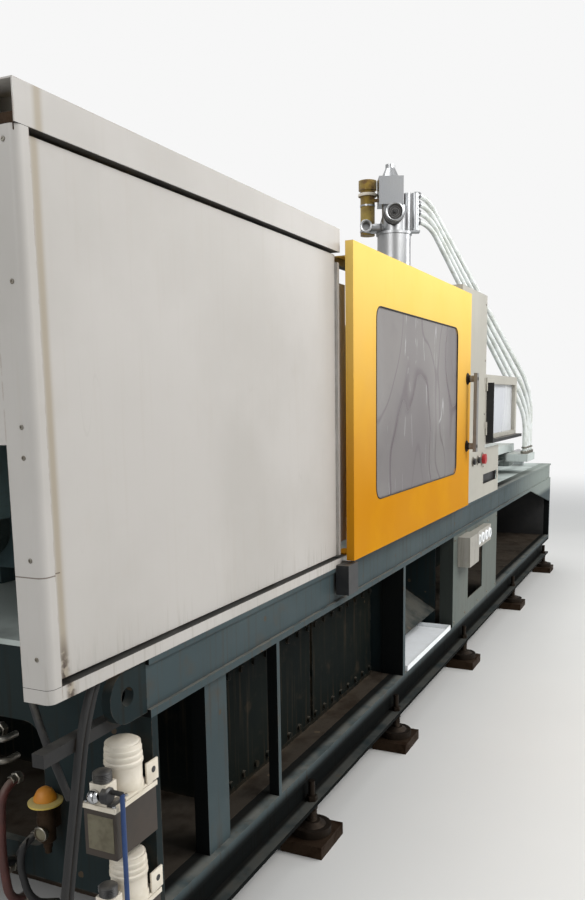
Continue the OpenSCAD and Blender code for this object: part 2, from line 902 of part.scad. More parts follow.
gate_from = cover_len;
gate_face = -half_w - gate_proud;
gate_back = gate_face + gate_t;
gate_low = deck_z + gate_lift;
track_w = 30;
hanger_in = 50;

upper_track = slot_high + (panel_slot - hanger.y) / 2 - sliding;
track_back = -half_w + frame_depth;

// Lower track in line with the cover's sill, upper track behind the recessed panel
module gate_tracks() {
    color(steel) placed() both_sides() {
        block([gate_from, -half_w, deck_z], [operator_from, track_back, sill_top]);
        block([corner_w, track_back - track_w, upper_track - track_h],
            [operator_from, track_back, upper_track]);
    }
}

module gate_stop_block() {
    before = 55;
    under = 10;
    z = gate_low - under - stop_block.z;
    color(black) placed() translate([gate_from - before, -half_w - stop_block.y, z]) cube(stop_block);
}

// Outline of the gate in X and Z
module gate_outline() { rect([gate_from, gate_low], [gate_from + gate_len, gate_low + gate_h]); }

module gate_window_outline(grow) {
    from = [gate_from, gate_low] + window_at;
    round_rect(from - [grow, grow], from + window + [grow, grow], window_r + grow);
}

// A folded tray: a face sheet with a rim turned back round its edge
module gate_shell() {
    rim = 26;
    difference() {
        wall_y(gate_face, gate_t) gate_outline();
        wall_y(gate_face + sheet_t, gate_t)
            rect([gate_from + sheet_t, gate_low + sheet_t],
                [gate_from + gate_len - sheet_t, gate_low + gate_h - sheet_t]);
    }
    difference() {
        wall_y(gate_face + sheet_t, gate_t - sheet_t) gate_window_outline(rim);
        wall_y(gate_face, gate_t + loose) gate_window_outline(rim - sheet_t);
    }
    // Hangers reach through the slots over and under the recessed panel
    for (x = [hanger_in, gate_len - hanger_in - hanger.x], z = [sill_top, upper_track])
        translate([gate_from + x, gate_face + sheet_t, z + sliding])
            cube([hanger.x, track_back - gate_face - sheet_t - hanger.y, hanger.y]);
}

module front_gate() {
    color(gate_yellow) placed() difference() {
        gate_shell();
        wall_y(gate_face - loose, gate_t * 2) gate_window_outline(0);
    }
}

module front_gate_window() {
    lap = 18;
    color(clear) placed() wall_y(gate_face + sheet_t, pane_t) gate_window_outline(lap);
}

// Upright bar on two stand-offs near the gate's free end
module gate_handle() {
    bar_x = gate_from + gate_len - 70;
    bar_z = gate_low + 300;
    standoff_in = 30;
    out = gate_face - standoff_len;
    for (z = [bar_z + standoff_in, bar_z + handle.x - standoff_in])
        rod_y(standoff_r, bar_x, out, gate_face, z);
    block([bar_x - handle.y / 2, out - handle.z, bar_z], [bar_x + handle.y / 2, out, bar_z + handle.x]);
}

module front_gate_handle() { color(black) placed() gate_handle(); }

module rear_gate() {
    color(gate_yellow) placed() mirror([0, 1, 0]) {
        gate_shell();
        gate_handle();
    }
}

// Fixed panel

// Stem of a push button
stem_r = 10;
stem_len = 40;

module operator_panel() {
    fold_y = -half_w + frame_depth;
    color(panel_grey) placed() for (z = hinge_at) {
        rod_z(hinge_r, hinge_x, hinge_y, z + hinge_len + sliding, z + 2 * hinge_len);
        block([hinge_x - leaf, -half_w - sheet_t, z + hinge_len + sliding],
            [hinge_x, -half_w, z + 2 * hinge_len]);
    }
    color(panel_grey) placed() difference() {
        union() {
            wall_y(-half_w, sheet_t) {
                rect([operator_from, deck_z], [guard_from, deck_z + operator_h]);
                rect([operator_from, deck_z], [guard_from + skirt.x, deck_z + skirt.y]);
            }
            for (edge = [[operator_from, deck_z], [guard_from - sheet_t, deck_z + skirt.y]])
                block([edge.x, -half_w, edge.y], [edge.x + sheet_t, fold_y, deck_z + operator_h]);
            block([operator_from, -half_w, deck_z], [guard_from + skirt.x, fold_y, deck_z + sheet_t]);
            block([operator_from, -half_w, deck_z + operator_h - sheet_t],
                [guard_from, fold_y, deck_z + operator_h]);
        }
        wall_y(-half_w - loose, sheet_t * 3)
            translate([operator_from, deck_z] + vent_at) square(vent);
        for (x = button_at)
            rod_y(stem_r + sliding, operator_from + x, -half_w - loose, -half_w + sheet_t + loose,
                deck_z + button_z);
    }
}

// Push button: a cap in front of the panel and a stem through it
module button(x, head_r, head_t) {
    out = -half_w - button_travel - sliding;
    rod_y(stem_r, operator_from + x, out, out + stem_len, deck_z + button_z);
    rod_y(head_r, operator_from + x, out - head_t, out, deck_z + button_z);
}

cap_t = 12;
stop_t = 20;
module left_button() { color(black) placed() button(button_at[0], button_r, cap_t); }
module right_button() { color(black) placed() button(button_at[1], button_r, cap_t); }
module stop_button() { color("firebrick") placed() button(button_at[2], stop_r, stop_t); }

// Barrel guard, hinged on the fixed panel's edge

guard_rise = 20;
guard_low = deck_z + skirt.y + guard_rise;
guard_face = -half_w + sheet_t;
guard_gap = 6;
guard_corner = 10;
hinge_r = 6;
hinge_len = 40;
hinge_in = 60;
leaf = 32;
hinge_x = guard_from + guard_gap / 2;
hinge_y = -half_w - hinge_r;
hinge_at = [guard_low + hinge_in, guard_low + guard_h - hinge_in - hinge_len];

module guard_outline(inset) {
    round_rect([guard_from + guard_gap + inset, guard_low + inset],
        [guard_from + guard_len - inset, guard_low + guard_h - inset], guard_corner);
}

module barrel_guard() {
    color(panel_grey) placed() {
        wall_y(guard_face, guard_t) difference() {
            guard_outline(0);
            guard_outline(guard_frame);
        }
        for (z = hinge_at) {
            rod_z(hinge_r, hinge_x, hinge_y, z, z + hinge_len);
            block([hinge_x, hinge_y + hinge_r - sheet_t, z], [hinge_x + leaf, guard_face, z + hinge_len]);
        }
    }
}

// Rubber lip that stands out along the guard's hinged edge and its foot, with a gusset between
module guard_seal() {
    from = [hinge_x + leaf + guard_gap, guard_low + guard_corner];
    foot_h = 20;
    gusset = [120, 42];
    color(black) placed() {
        wall_y(guard_face - lip.x, lip.x) translate(from) square([lip.y, lip.z]);
        wall_y(guard_face - lip.x, lip.y) translate(from) difference() {
            square(gusset);
            translate(gusset) scale([gusset.x - lip.y, gusset.y - foot_h]) circle(1);
        }
        wall_y(guard_face - lip.x, lip.x) translate(from)
            square([guard_from + guard_len - guard_corner - from.x, foot_h]);
    }
}

module guard_window() {
    color(clear) placed() wall_y(guard_face + guard_t - pane_t, pane_t)
        guard_outline(guard_frame + sliding);
}

// Injection unit

rods_end = 260;
rods_to = machine_len - rods_end;
carriage_to = column_to + tail_plate_t;
sled_tail = 350;
sled_to = carriage_to + sled_tail;
sled_t = 60;
shoe_wall = 25;
sled_z = deck_z + guide_z + guide_r + shoe_wall;
manifold_drop = 10;
manifold_z = sled_z - manifold_drop;

// Two guide rods on brackets, with the pull-in rods screwed into the stationary platen
module guide_rods() {
    bracket = [60, 100];
    rods_from = mould_face + fixed_platen_t + bracket.x;
    color(bright) placed() both_sides() {
        rod_x(guide_r, rods_from, rods_to, -guide_pitch / 2, deck_z + guide_z);
        for (x = [rods_from, rods_to - bracket.x])
            translate([x, -guide_pitch / 2 - bracket.y / 2, deck_z]) cube([bracket.x, bracket.y, guide_z]);
    }
}

module injection_carriage() {
    shoe = [200, 140];
    cheek_t = 60;
    drive_room = 30;
    drain_r = 12;
    manifold = [50, 40, 35, 60];    // before the first socket, past the last, to the side, and its height
    sled_half = guide_pitch / 2 + shoe.y / 2;
    low = axis_z - feed_block.z / 2;
    color(cast_blue) placed() difference() {
        union() {
            block([block_from, -feed_block.y / 2, low], [block_to, feed_block.y / 2, block_top]);
            block([column_to, -feed_block.y / 2, low], [carriage_to, feed_block.y / 2, block_top]);
            block([block_from, -sled_half, sled_z], [sled_to, sled_half, sled_z + sled_t]);
            both_sides() {
                for (x = [block_from, sled_to - shoe.x])
                    block([x, -sled_half, deck_z + guide_z - guide_r - shoe_wall],
                        [x + shoe.x, -sled_half + shoe.y, sled_z + sled_t]);
                for (z = [-1, 1])
                    rod_x(column_r, block_to, column_to, -column_y, axis_z + z * column_y);
                for (x = [[block_from, block_to], [column_to, carriage_to]])
                    block([x[0], -feed_block.y / 2, sled_z],
                        [x[1], -feed_block.y / 2 + cheek_t, low + loose]);
            }
            // Manifold that the loader hoses plug into
            block([hose_end(0).x - manifold[0], hose_end(0).y - manifold[2], manifold_z - manifold[3]],
                [hose_end(hose_count - 1).x + manifold[1], -sled_half, manifold_z]);
            for (i = [0:hose_count - 1])
                rod_z(hose_r * 1.35, hose_end(i).x, hose_end(i).y, manifold_z, hose_end(i).z);
        }
        both_sides() rod_x(guide_r + sliding, block_from - loose, sled_to + loose,
            -guide_pitch / 2, deck_z + guide_z);
        rod_x(barrel_r + running, block_from - loose, block_to + loose, 0, axis_z);
        rod_x(drive_r + drive_room, column_to - loose, carriage_to + loose, 0, axis_z);
        rod_z(throat_r, throat_x, 0, axis_z, block_top + loose);
        rod_z(drain_r, throat_x, 0, sled_z - loose, axis_z);
    }
}

module barrel() {
    tip_r = 16;
    tip_len = 12;
    neck_r = 30;
    neck_to = 40;
    shoulder_r = barrel_r - 12;
    orifice_r = 4;
    color(steel) placed() difference() {
        union() {
            rod_x(barrel_r, barrel_from, block_to, 0, axis_z);
            translate([nozzle_tip + neck_to, 0, axis_z]) rotate([0, 90, 0])
                cylinder(r1 = neck_r, r2 = shoulder_r, h = nozzle_len - neck_to);
            rod_x(neck_r, nozzle_tip + tip_len, nozzle_tip + neck_to, 0, axis_z);
            translate([nozzle_tip, 0, axis_z]) rotate([0, 90, 0])
                cylinder(r1 = tip_r, r2 = neck_r, h = tip_len);
        }
        rod_x(bore_r, barrel_from, block_to + loose, 0, axis_z);
        rod_x(orifice_r, nozzle_tip - loose, barrel_from + loose, 0, axis_z);
        rod_z(throat_r, throat_x, 0, axis_z, axis_z + barrel_r + loose);
    }
}

module heater_bands() {
    first = 30;
    count = floor((barrel_len - first) / (band_len + band_gap));
    lug = [30, 40, 24];
    lug_sunk = 4;
    color(steel) placed() for (i = [0:count - 1]) {
        x = barrel_from + first + i * (band_len + band_gap);
        difference() {
            union() {
                rod_x(barrel_r + band_t, x, x + band_len, 0, axis_z);
                translate([x + (band_len - lug.x) / 2, -lug.y / 2, axis_z + barrel_r + band_t - lug_sunk])
                    cube(lug);
            }
            rod_x(barrel_r + running, x - loose, x + band_len + loose, 0, axis_z);
        }
    }
}

// Screw with one flight, its shaft running back into the crosshead
module screw() {
    core_r = 19;
    tip = 40;
    tip_r = 5;
    tip_gap = 2;
    shaft_in = 60;
    root = 5;
    crest = [bore_r - 0.6, 4];
    crest_r = bore_r - 0.4;
    slices_a_turn = 12;
    flight_from = barrel_from + tip;
    flight_len = block_to - shaft_in - flight_from;
    turns = flight_len / flight_pitch;
    color(bright) placed() {
        translate([barrel_from + tip_gap, 0, axis_z]) rotate([0, 90, 0])
            cylinder(r1 = tip_r, r2 = core_r, h = tip);
        rod_x(core_r, flight_from, block_to, 0, axis_z);
        rod_x(shaft_r, block_to - shaft_in, crosshead_to + drive_seat, 0, axis_z);
        translate([flight_from, 0, axis_z]) rotate([0, 90, 0])
            linear_extrude(flight_len, twist = -360 * turns, slices = ceil(turns * slices_a_turn),
                $fn = coarse)
                polygon([[0, -root], [crest.x, -crest.y], [crest_r, 0], crest, [0, root]]);
    }
}

// Injection cylinders between the feed block and the crosshead
module injection_cylinders() {
    flange = [30, 20];          // thickness, and height over the cylinder
    gland = [30, 12];
    cap_t = 20;
    y = -shot_pitch / 2;
    color(cast_blue) placed() both_sides() difference() {
        union() {
            rod_x(shot_r, block_to, shot_to, y, axis_z);
            rod_x(shot_r + flange.y, block_to, block_to + flange.x, y, axis_z);
            rod_x(shot_r + gland.y, shot_to - gland.x, shot_to, y, axis_z);
        }
        rod_x(rod_r + sliding, block_to + cap_t, shot_to + loose, y, axis_z);
    }
}

module crosshead() {
    half = feed_block.y / 2;
    round_over = 40;
    half_h = column_y + 2 * column_r;
    rod_in = screw_stroke + 2 * column_r;
    color(cast_blue) placed() difference() {
        union() {
            along_x(crosshead_from, crosshead_to)
                round_rect([-half, axis_z - half_h], [half, axis_z + half_h], round_over);
            both_sides() rod_x(rod_r, shot_to - rod_in, crosshead_from, -shot_pitch / 2, axis_z);
        }
        both_sides() for (z = [-1, 1]) rod_x(column_r + sliding, crosshead_from - loose, crosshead_to + loose,
            -column_y, axis_z + z * column_y);
        rod_x(shaft_r + sliding, crosshead_from - loose, crosshead_to + loose, 0, axis_z);
    }
}

module drive_motor() {
    port = [50, 60, 60];
    port_sunk = 40;
    body_r = drive_r - 25;
    shaft_room = 20;
    color(base_blue) placed() difference() {
        union() {
            rod_x(drive_r, crosshead_to, crosshead_to + drive_seat, 0, axis_z);
            rod_x(body_r, crosshead_to + drive_seat, crosshead_to + drive_len, 0, axis_z);
            translate([crosshead_to + drive_len / 2, -port.y / 2, axis_z + drive_r - port_sunk]) cube(port);
        }
        rod_x(shaft_r + sliding, crosshead_to - loose, crosshead_to + drive_seat + shaft_room, 0, axis_z);
    }
}

// Material tower

gate_box_h = 50;
cone_from = block_top + gate_box_h;
hopper_top = cone_from + cone_h + hopper_h;
lid_t = 8;
hopper_wall = 3;
shutter_h = 10;
shutter_up = 20;
shutter_half = 45;
shutter_out = 180;

module hopper() {
    box_half = 90;
    neck_r = throat_r + 20;
    color(bright) placed() translate([throat_x, 0, 0]) {
        difference() {
            block([-box_half, -box_half, block_top], [box_half, box_half, cone_from]);
            rod_z(throat_r, 0, 0, block_top - loose, cone_from + loose);
            block([-shutter_half - sliding, -box_half - loose, block_top + shutter_up - sliding],
                [shutter_half + sliding, box_half + loose, block_top + shutter_up + shutter_h + sliding]);
        }
        rotate_extrude() polygon([
            [neck_r - hopper_wall, cone_from], [neck_r, cone_from], [hopper_r, cone_from + cone_h],
            [hopper_r, hopper_top], [0, hopper_top], [0, hopper_top - lid_t],
            [hopper_r - hopper_wall, hopper_top - lid_t], [hopper_r - hopper_wall, cone_from + cone_h]
        ]);
    }
}

// Shutter that closes the feed throat when it is pushed in
module slide_gate() {
    grip = [60, 12, 30];
    color(steel) placed() translate([throat_x, 0, 0]) difference() {
        union() {
            block([-shutter_half, -shutter_out, block_top + shutter_up],
                [shutter_half, shutter_half, block_top + shutter_up + shutter_h]);
            translate([-grip.x / 2, -shutter_out - grip.y, block_top + shutter_up - shutter_h]) cube(grip);
        }
        rod_z(throat_r, 0, 0, block_top, block_top + shutter_up + shutter_h + loose);
    }
}

head_from = hopper_top + drum_h;
box_from = head_from + head_h;
box_to = box_from + filter_box.z;
port_x = 139;
port_r = 24;
hose_step = 55;
first_hose = 75;
hose_run = 80;
last_hose = [40, 205, 30];      // in from the sled's tail, out from the guide rod, over the manifold
bend_r = 250;
spigot = 40;
box_shift = 26;
column_top_r = drum_r - 30;

// The loader is turned on the hopper, so that its motor faces the clamp end's operator corner
loader_turn = -65;
module at_loader() { translate([throat_x, 0, 0]) rotate([0, 0, loader_turn]) children(); }

module loader() {
    clip = [8, 16];                 // out from the drum, and height
    dome = [60, 32, 60, 25];        // foot radius, neck radius, height and neck height
    flange = [6, 12];               // round the pipes, and thickness
    pipe_gap = 50;
    pipe_top = 250;
    elbow = [-192, -95, head_from + 30];
    elbow_r = 28;
    elbow_bend = 45;
    collar = [4, 6];                // over the elbow, and along it
    mouth = [10, 16];
    drum_in = 40;
    elbow_bore = 26;
    bore_len = 45;
    hose_socket = 4;
    color(bright) placed() at_loader() {
        rod_z(drum_r, 0, 0, hopper_top, head_from);
        for (z = [hopper_top, head_from - clip.y]) rod_z(drum_r + clip.x, 0, 0, z, z + clip.y);
        rod_z(column_top_r, 0, 0, head_from, box_from);
        translate([-filter_box.x / 2 - box_shift, -filter_box.y / 2, box_from]) cube(filter_box);
        translate([-box_shift, 0, box_to]) cylinder(r1 = dome[0], r2 = dome[1], h = dome[2]);
        rod_z(dome[1], -box_shift, 0, box_to + dome[2], box_to + dome[2] + dome[3]);
        block([port_x - pipe_gap - port_r - flange.x, -port_r - flange.x, head_from],
            [port_x + port_r + flange.x, port_r + flange.x, head_from + flange.y]);
        for (x = [port_x - pipe_gap, port_x]) rod_z(port_r, x, 0, head_from + flange.y, head_from + pipe_top);
        difference() {
            union() {
                rod_x(elbow_r + collar.x, elbow.x + elbow_bend - collar.y, -drum_r + drum_in, 0, elbow.z);
                translate([elbow.x + elbow_bend, -elbow_bend, elbow.z]) rotate([0, 0, 90])
                    rotate_extrude(angle = 90) translate([elbow_bend, 0]) circle(elbow_r);
                rod_y(elbow_r + collar.x, elbow.x, elbow.y, -elbow_bend + collar.y, elbow.z);
                rod_y(elbow_r + mouth.x, elbow.x, elbow.y, elbow.y + mouth.y, elbow.z);
            }
            rod_y(elbow_bore, elbow.x, elbow.y - loose, elbow.y + bore_len, elbow.z);
        }
    }
    color(bright) placed() for (i = [0:hose_count - 1])
        translate(hose_start(i)) rotate([0, 0, hose_turn(i)]) rotate([0, 90, 0])
            cylinder(r = hose_r + hose_socket, h = spigot);
}

module suction_motor() {
    under_box = 8;
    x = -12;
    face = -165;
    body_to = -60;
    band = [30, 46, 6];             // from and to behind the face, and height
    recess = [12, 10];              // rim and depth
    z = box_from - motor_r - under_box;
    color([0.25, 0.25, 0.27]) placed() at_loader() difference() {
        union() {
            rod_y(motor_r, x, face, body_to, z);
            rod_y(motor_r + band.z, x, face + band.x, face + band.y, z);
        }
        rod_y(motor_r - recess.x, x, face - loose, face + recess.y, z);
        rod_z(column_top_r + sliding, 0, 0, head_from, box_from + loose);
    }
}

module filter_sleeve() {
    cap = [12, 60];                 // over the sleeve, and height
    gap = 2;
    arm = [15, 20];                 // thickness and height
    arm_up = 40;
    sleeve_y = filter_box.y / 2 + 10;
    box_x = -filter_box.x / 2 - box_shift;
    sleeve_x = box_x - sleeve_r - cap.x - gap;
    cap_z = head_from + sleeve_h;
    color([0.55, 0.45, 0.20]) placed() at_loader() {
        rod_z(sleeve_r, sleeve_x, sleeve_y, head_from, cap_z);
        rod_z(sleeve_r + cap.x, sleeve_x, sleeve_y, cap_z, cap_z + cap.y);
        translate([sleeve_x, filter_box.y / 2 - 2 * arm.x, box_from + arm_up])
            cube([box_x - sleeve_x, arm.x, arm.y]);
    }
}

// Where each hose leaves the loader and where it plugs in, and the turn between them
function hose_start(i) = [throat_x, 0, 0]
    + port_x * [cos(loader_turn), sin(loader_turn), 0] + [0, 0, head_from + first_hose + i * hose_step];
function hose_end(i) = [
    sled_to - last_hose.x - (hose_count - 1 - i) * hose_run,
    -guide_pitch / 2 - last_hose.y,
    manifold_z + last_hose.z
];
function hose_turn(i) = atan2(hose_end(i).y - hose_start(i).y, hose_end(i).x - hose_start(i).x);

// The higher a hose starts, the flatter its slope and the wider its lower bend
slope_step = 2;
low_bend = 80;
bend_step = 40;
steps = 5;
hose_sides = 12;

// Stations along a hose in its own upright plane, each [across, up, heading below level]:
// a bend over, a straight slope and a bend down to the socket
function hose_route(slope, low_r, across, down) =
    let(
        run = (across - bend_r * sin(slope) - low_r * (1 - sin(slope))) / cos(slope),
        from = [bend_r * sin(slope), -bend_r * (1 - cos(slope))],
        to = from + run * [cos(slope), -sin(slope)],
        mid = to + low_r * [-sin(slope), -cos(slope)]
    )
    concat(
        [for (k = [0:steps - 1]) let(a = slope * k / (steps - 1))
            [bend_r * sin(a), -bend_r * (1 - cos(a)), a]],
        [for (k = [1:steps]) concat(from + (to - from) * k / steps, [slope])],
        [for (k = [1:steps]) let(a = slope + (90 - slope) * k / steps)
            concat(mid + low_r * [sin(a), cos(a)], [a])],
        [[across, -down, 90]]
    );

// Round tube through the stations
module tube(stations, r, sides) {
    last = len(stations) - 1;
    rings = [for (s = stations, k = [0:sides - 1]) let(a = 360 * k / sides)
        [s[0] + r * cos(a) * sin(s[2]), r * sin(a), s[1] + r * cos(a) * cos(s[2])]];
    skin = [for (j = [0:last - 1], k = [0:sides - 1]) let(
            a = j * sides + k, d = j * sides + (k + 1) % sides, c = d + sides, b = a + sides)
        each [[a, d, c], [a, c, b]]];
    ends = [[for (k = [sides - 1:-1:0]) k], [for (k = [0:sides - 1]) last * sides + k]];
    polyhedron(rings, concat(skin, ends));
}

module loader_hoses() {
    color([0.85, 0.87, 0.86]) placed() for (i = [0:hose_count - 1]) {
        from = hose_start(i);
        to = hose_end(i);
        across = norm([to.x - from.x, to.y - from.y]) - spigot;
        translate(from) rotate([0, 0, hose_turn(i)]) translate([spigot, 0, 0])
            tube(hose_route(hose_slope - slope_step * i, bend_r + low_bend + bend_step * i, across,
                from.z - to.z), hose_r, hose_sides);
    }
}

// Lubrication pumps on the base's clamp end

clamp_end_gap = 8;
plate_x = base_from - lube_plate.x;
plate_y = -half_w - 10;
tube_x = plate_x + 14;
tube_y = plate_y - 12;
tube_up = 34;
pump = [40, 46, 52];
pump_in = 2;
pump_y = (lube_plate.y - pump.y) / 2;

module at_pumps() { for (i = [0, 1]) translate([plate_x, plate_y, lube_z - i * lube_step]) children(); }

module lube_pumps() {
    ear = [28, 8, 40];
    cap_in = lube_cap_r + 24;
    color([0.78, 0.74, 0.62]) placed() at_pumps() {
        translate([0, 0, -lube_plate.z]) cube(lube_plate);
        translate([lube_plate.x - cap_in, lube_plate.y / 2, 0]) cylinder(r = lube_cap_r, h = lube_cap_h);
        translate([lube_plate.x - ear.x, lube_plate.y - ear.y, 0]) cube(ear);
        translate([pump_in, pump_y, 0]) cube(pump);
    }
}

module lube_reservoirs() {
    inset = 3;
    color([0.30, 0.24, 0.16]) placed() at_pumps()
        translate([inset, inset, -lube_plate.z - lube_tank_h])
            cube([lube_plate.x - 2 * inset, lube_plate.y - 2 * inset, lube_tank_h]);
}

// Stations of a hose that leans over, straightens and hangs down again
function leaning_route(lean, plumb, r, first, straight, drop) =
    let(
        from = first * [cos(lean), -sin(lean)],
        bend = [for (k = [0:steps]) let(a = lean + (plumb - lean) * k / steps)
            [from.x + r * (sin(a) - sin(lean)), from.y - r * (cos(lean) - cos(a)), a]],
        to = [bend[steps][0], bend[steps][1]] + straight * [cos(plumb), -sin(plumb)],
        back = [for (k = [0:steps]) let(a = plumb + (90 - plumb) * k / steps)
            [to.x + r * (sin(a) - sin(plumb)), to.y - r * (cos(plumb) - cos(a)), a]]
    )
    concat([[0, 0, 90]], bend, back, [[back[steps][0], -drop, 90]]);

// Two hoses that lean away past the pumps, held by two bars, and the tube between the pumps
module lube_lines() {
    lean = 60;
    plumb = 77;
    lean_r = 545;
    first = 12;
    straight = 300;
    hoses = 2;
    hose_sides = 16;
    hose_x = plate_x + 17;
    hose_y = -half_w + frame_depth / 2;
    low = base_lift + 40;
    gap = 2;
    bar = [32, 30];                 // depth and height
    bar_z = [low + gap, beam_bottom + gap];
    elbow_r = thin_tube_r + 1;
    color(black) placed() {
        for (i = [0:hoses - 1])
            translate([hose_x - i * (2 * thick_hose_r + gap), hose_y, deck_z]) rotate([0, 0, 180])
                tube(leaning_route(lean, plumb, lean_r, first, straight, deck_z - low),
                    thick_hose_r, hose_sides);
        for (z = bar_z)
            block([clamp_end_gap, hose_y + thick_hose_r - gap, z],
                [base_from, hose_y + thick_hose_r - gap + bar.x, z + bar.y]);
    }
    color("steelblue") placed() {
        rod_z(thin_tube_r, tube_x, tube_y, lube_z - lube_step + tube_up, lube_z + tube_up);
        for (z = [lube_z - lube_step + tube_up, lube_z + tube_up])
            rod_y(elbow_r, tube_x, tube_y, plate_y + pump_y, z);
    }
}

bottom_rails();
base_plates();
top_rails();
base_posts();
bulkheads();
end_frame();
base_side_panels();
electrical_boxes();
oil_tank();
tank_covers();
pump_set();
drop_chute();
drop_tray();
foot_blocks();
levelling_feet();
rear_platen();
clamp_cylinder();
tie_bars();
tie_bar_nuts();
stationary_platen();
moving_platen();
slide_shoes();
clamp_ram();
ejector_rod();
roof_cover();
side_frame();
side_panel();
rear_cover();
end_panel();
corner_posts();
gate_tracks();
gate_stop_block();
front_gate();
front_gate_window();
front_gate_handle();
rear_gate();
operator_panel();
left_button();
right_button();
stop_button();
barrel_guard();
guard_seal();
guard_window();
guide_rods();
injection_carriage();
barrel();
heater_bands();
screw();
injection_cylinders();
crosshead();
drive_motor();
hopper();
slide_gate();
loader();
suction_motor();
filter_sleeve();
loader_hoses();
lube_pumps();
lube_reservoirs();
lube_lines();
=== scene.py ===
# %% [markdown]
# An injection moulding machine stands on a workshop floor. The imported model gives
# every rigid piece at its real size; this file gives each piece its finish and adds
# the small things that a solid model leaves out. The model is loaded first. Nothing
# that is added may reach past it.

# %% Load the model
import bpy
import bmesh
from math import cos, pi, radians, sin
from mathutils import Matrix, Vector, noise


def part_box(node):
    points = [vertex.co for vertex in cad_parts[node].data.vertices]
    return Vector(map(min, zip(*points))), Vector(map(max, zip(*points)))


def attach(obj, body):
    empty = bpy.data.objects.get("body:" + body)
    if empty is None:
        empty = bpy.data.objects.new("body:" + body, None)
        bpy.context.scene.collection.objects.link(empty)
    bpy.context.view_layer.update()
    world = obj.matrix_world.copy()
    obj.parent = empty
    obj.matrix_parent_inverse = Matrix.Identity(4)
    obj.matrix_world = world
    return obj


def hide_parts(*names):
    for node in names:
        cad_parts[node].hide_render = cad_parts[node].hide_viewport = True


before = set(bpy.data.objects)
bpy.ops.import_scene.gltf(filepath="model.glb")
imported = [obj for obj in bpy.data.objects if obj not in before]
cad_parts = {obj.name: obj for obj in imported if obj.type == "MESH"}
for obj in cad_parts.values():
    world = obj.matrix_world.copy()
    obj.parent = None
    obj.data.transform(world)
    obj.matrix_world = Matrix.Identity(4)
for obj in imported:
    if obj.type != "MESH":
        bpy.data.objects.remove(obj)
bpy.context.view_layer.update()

# %% [markdown]
# The camera stands at eye height close to the clamp end and looks along the operator
# side. Its place and turn were worked out from the edges of the machine in the
# photograph, which run to three vanishing points. The picture's middle isn't where
# the lens points, so the camera has a small shift.

# %% Camera
YAW, PITCH, ROLL = (radians(a) for a in (25.06, 8.87, 0.8))
EYE = Vector((-4.60, -1.85, 1.60))


def new_object(name, data):
    made = bpy.data.objects.new(name, data)
    bpy.context.scene.collection.objects.link(made)
    return made


forward = Vector((cos(PITCH) * cos(YAW), cos(PITCH) * sin(YAW), -sin(PITCH)))
level_right = Vector((sin(YAW), -cos(YAW), 0.0))
level_down = forward.cross(level_right)
right = level_right * cos(ROLL) + level_down * sin(ROLL)
down = level_down * cos(ROLL) - level_right * sin(ROLL)

lens = bpy.data.cameras.new("camera")
lens.lens = 33.28
lens.sensor_width = 36.0
lens.shift_x = -0.0086
lens.shift_y = 0.0888
lens.clip_end = 100.0
camera = new_object("camera", lens)
turn = Matrix((right, -down, -forward)).transposed().to_4x4()
camera.matrix_world = Matrix.Translation(EYE) @ turn
bpy.context.scene.camera = camera
print("camera looks along", [round(v, 3) for v in forward])

# %% [markdown]
# Places along the machine are easier to check on the object in millimetres from the
# clamp cover's end, so one helper turns such a place into Blender's metres. A second
# one keeps colours as they are read off a screen, from 0 to 255, and gives the linear
# values that shaders work with.

# %% Places and colours
MIDDLE = 3350


def at(along, across, up):
    return Vector((along - MIDDLE, across, up)) / 1000


def shade(r, g, b):
    def linear(v):
        v /= 255
        return v / 12.92 if v <= 0.04045 else ((v + 0.055) / 1.055) ** 2.4
    return (linear(r), linear(g), linear(b), 1.0)


print("cover end", at(0, 0, 0), "mid grey", shade(128, 128, 128))

# %% [markdown]
# The four pale hoses carry plastic pellets from the loader on the hopper to the
# carriage. Each is a real hose: it leaves its spigot level, bends down, runs straight
# and turns into an upright fitting. A curve with a round bevel is the right tool,
# because its own line is the hose's centreline. The route is the one in the model.

# %% Loader hoses
# lengths in millimetres, angles in radians
TOWER = radians(-65)
THROAT, SPIGOTS_OUT, SPIGOTS_UP, SPIGOT_STEP = 4240, 139, 2760, 55
MANIFOLD, MANIFOLD_SIDE, NUT_STEP = 5560, -655, 80
HOSE_R, BEND_R, SPIGOT, HOSE_FOOT = 17, 250, 40, 1180
out_way = Vector((cos(TOWER), sin(TOWER)))
spigots = Vector((THROAT, 0)) + SPIGOTS_OUT * out_way


def nut_place(number):
    return Vector((MANIFOLD + NUT_STEP * number, MANIFOLD_SIDE))


def hose_route(number):
    high = SPIGOTS_UP + SPIGOT_STEP * number
    slope, low_r = radians(47 - 2 * number), 330 + 40 * number
    way = (nut_place(number) - spigots).normalized()
    across = (nut_place(number) - spigots).length - SPIGOT
    run = (across - BEND_R * sin(slope) - low_r * (1 - sin(slope))) / cos(slope)
    bend_end = Vector((BEND_R * sin(slope), -BEND_R * (1 - cos(slope))))
    drop_start = bend_end + run * Vector((cos(slope), -sin(slope)))
    centre = drop_start + low_r * Vector((-sin(slope), -cos(slope)))
    line = [BEND_R * Vector((sin(a), cos(a) - 1)) for a in (slope * k / 8 for k in range(9))]
    line += [bend_end.lerp(drop_start, k / 6) for k in range(1, 7)]
    turns = (slope + (pi / 2 - slope) * k / 10 for k in range(1, 11))
    line += [centre + low_r * Vector((sin(a), cos(a))) for a in turns]
    line.append(Vector((across, HOSE_FOOT - high)))
    return [at(*(spigots + way * (SPIGOT + p.x)), high + p.y) for p in line]


def length_of(points):
    return sum((b - a).length for a, b in zip(points, points[1:]))


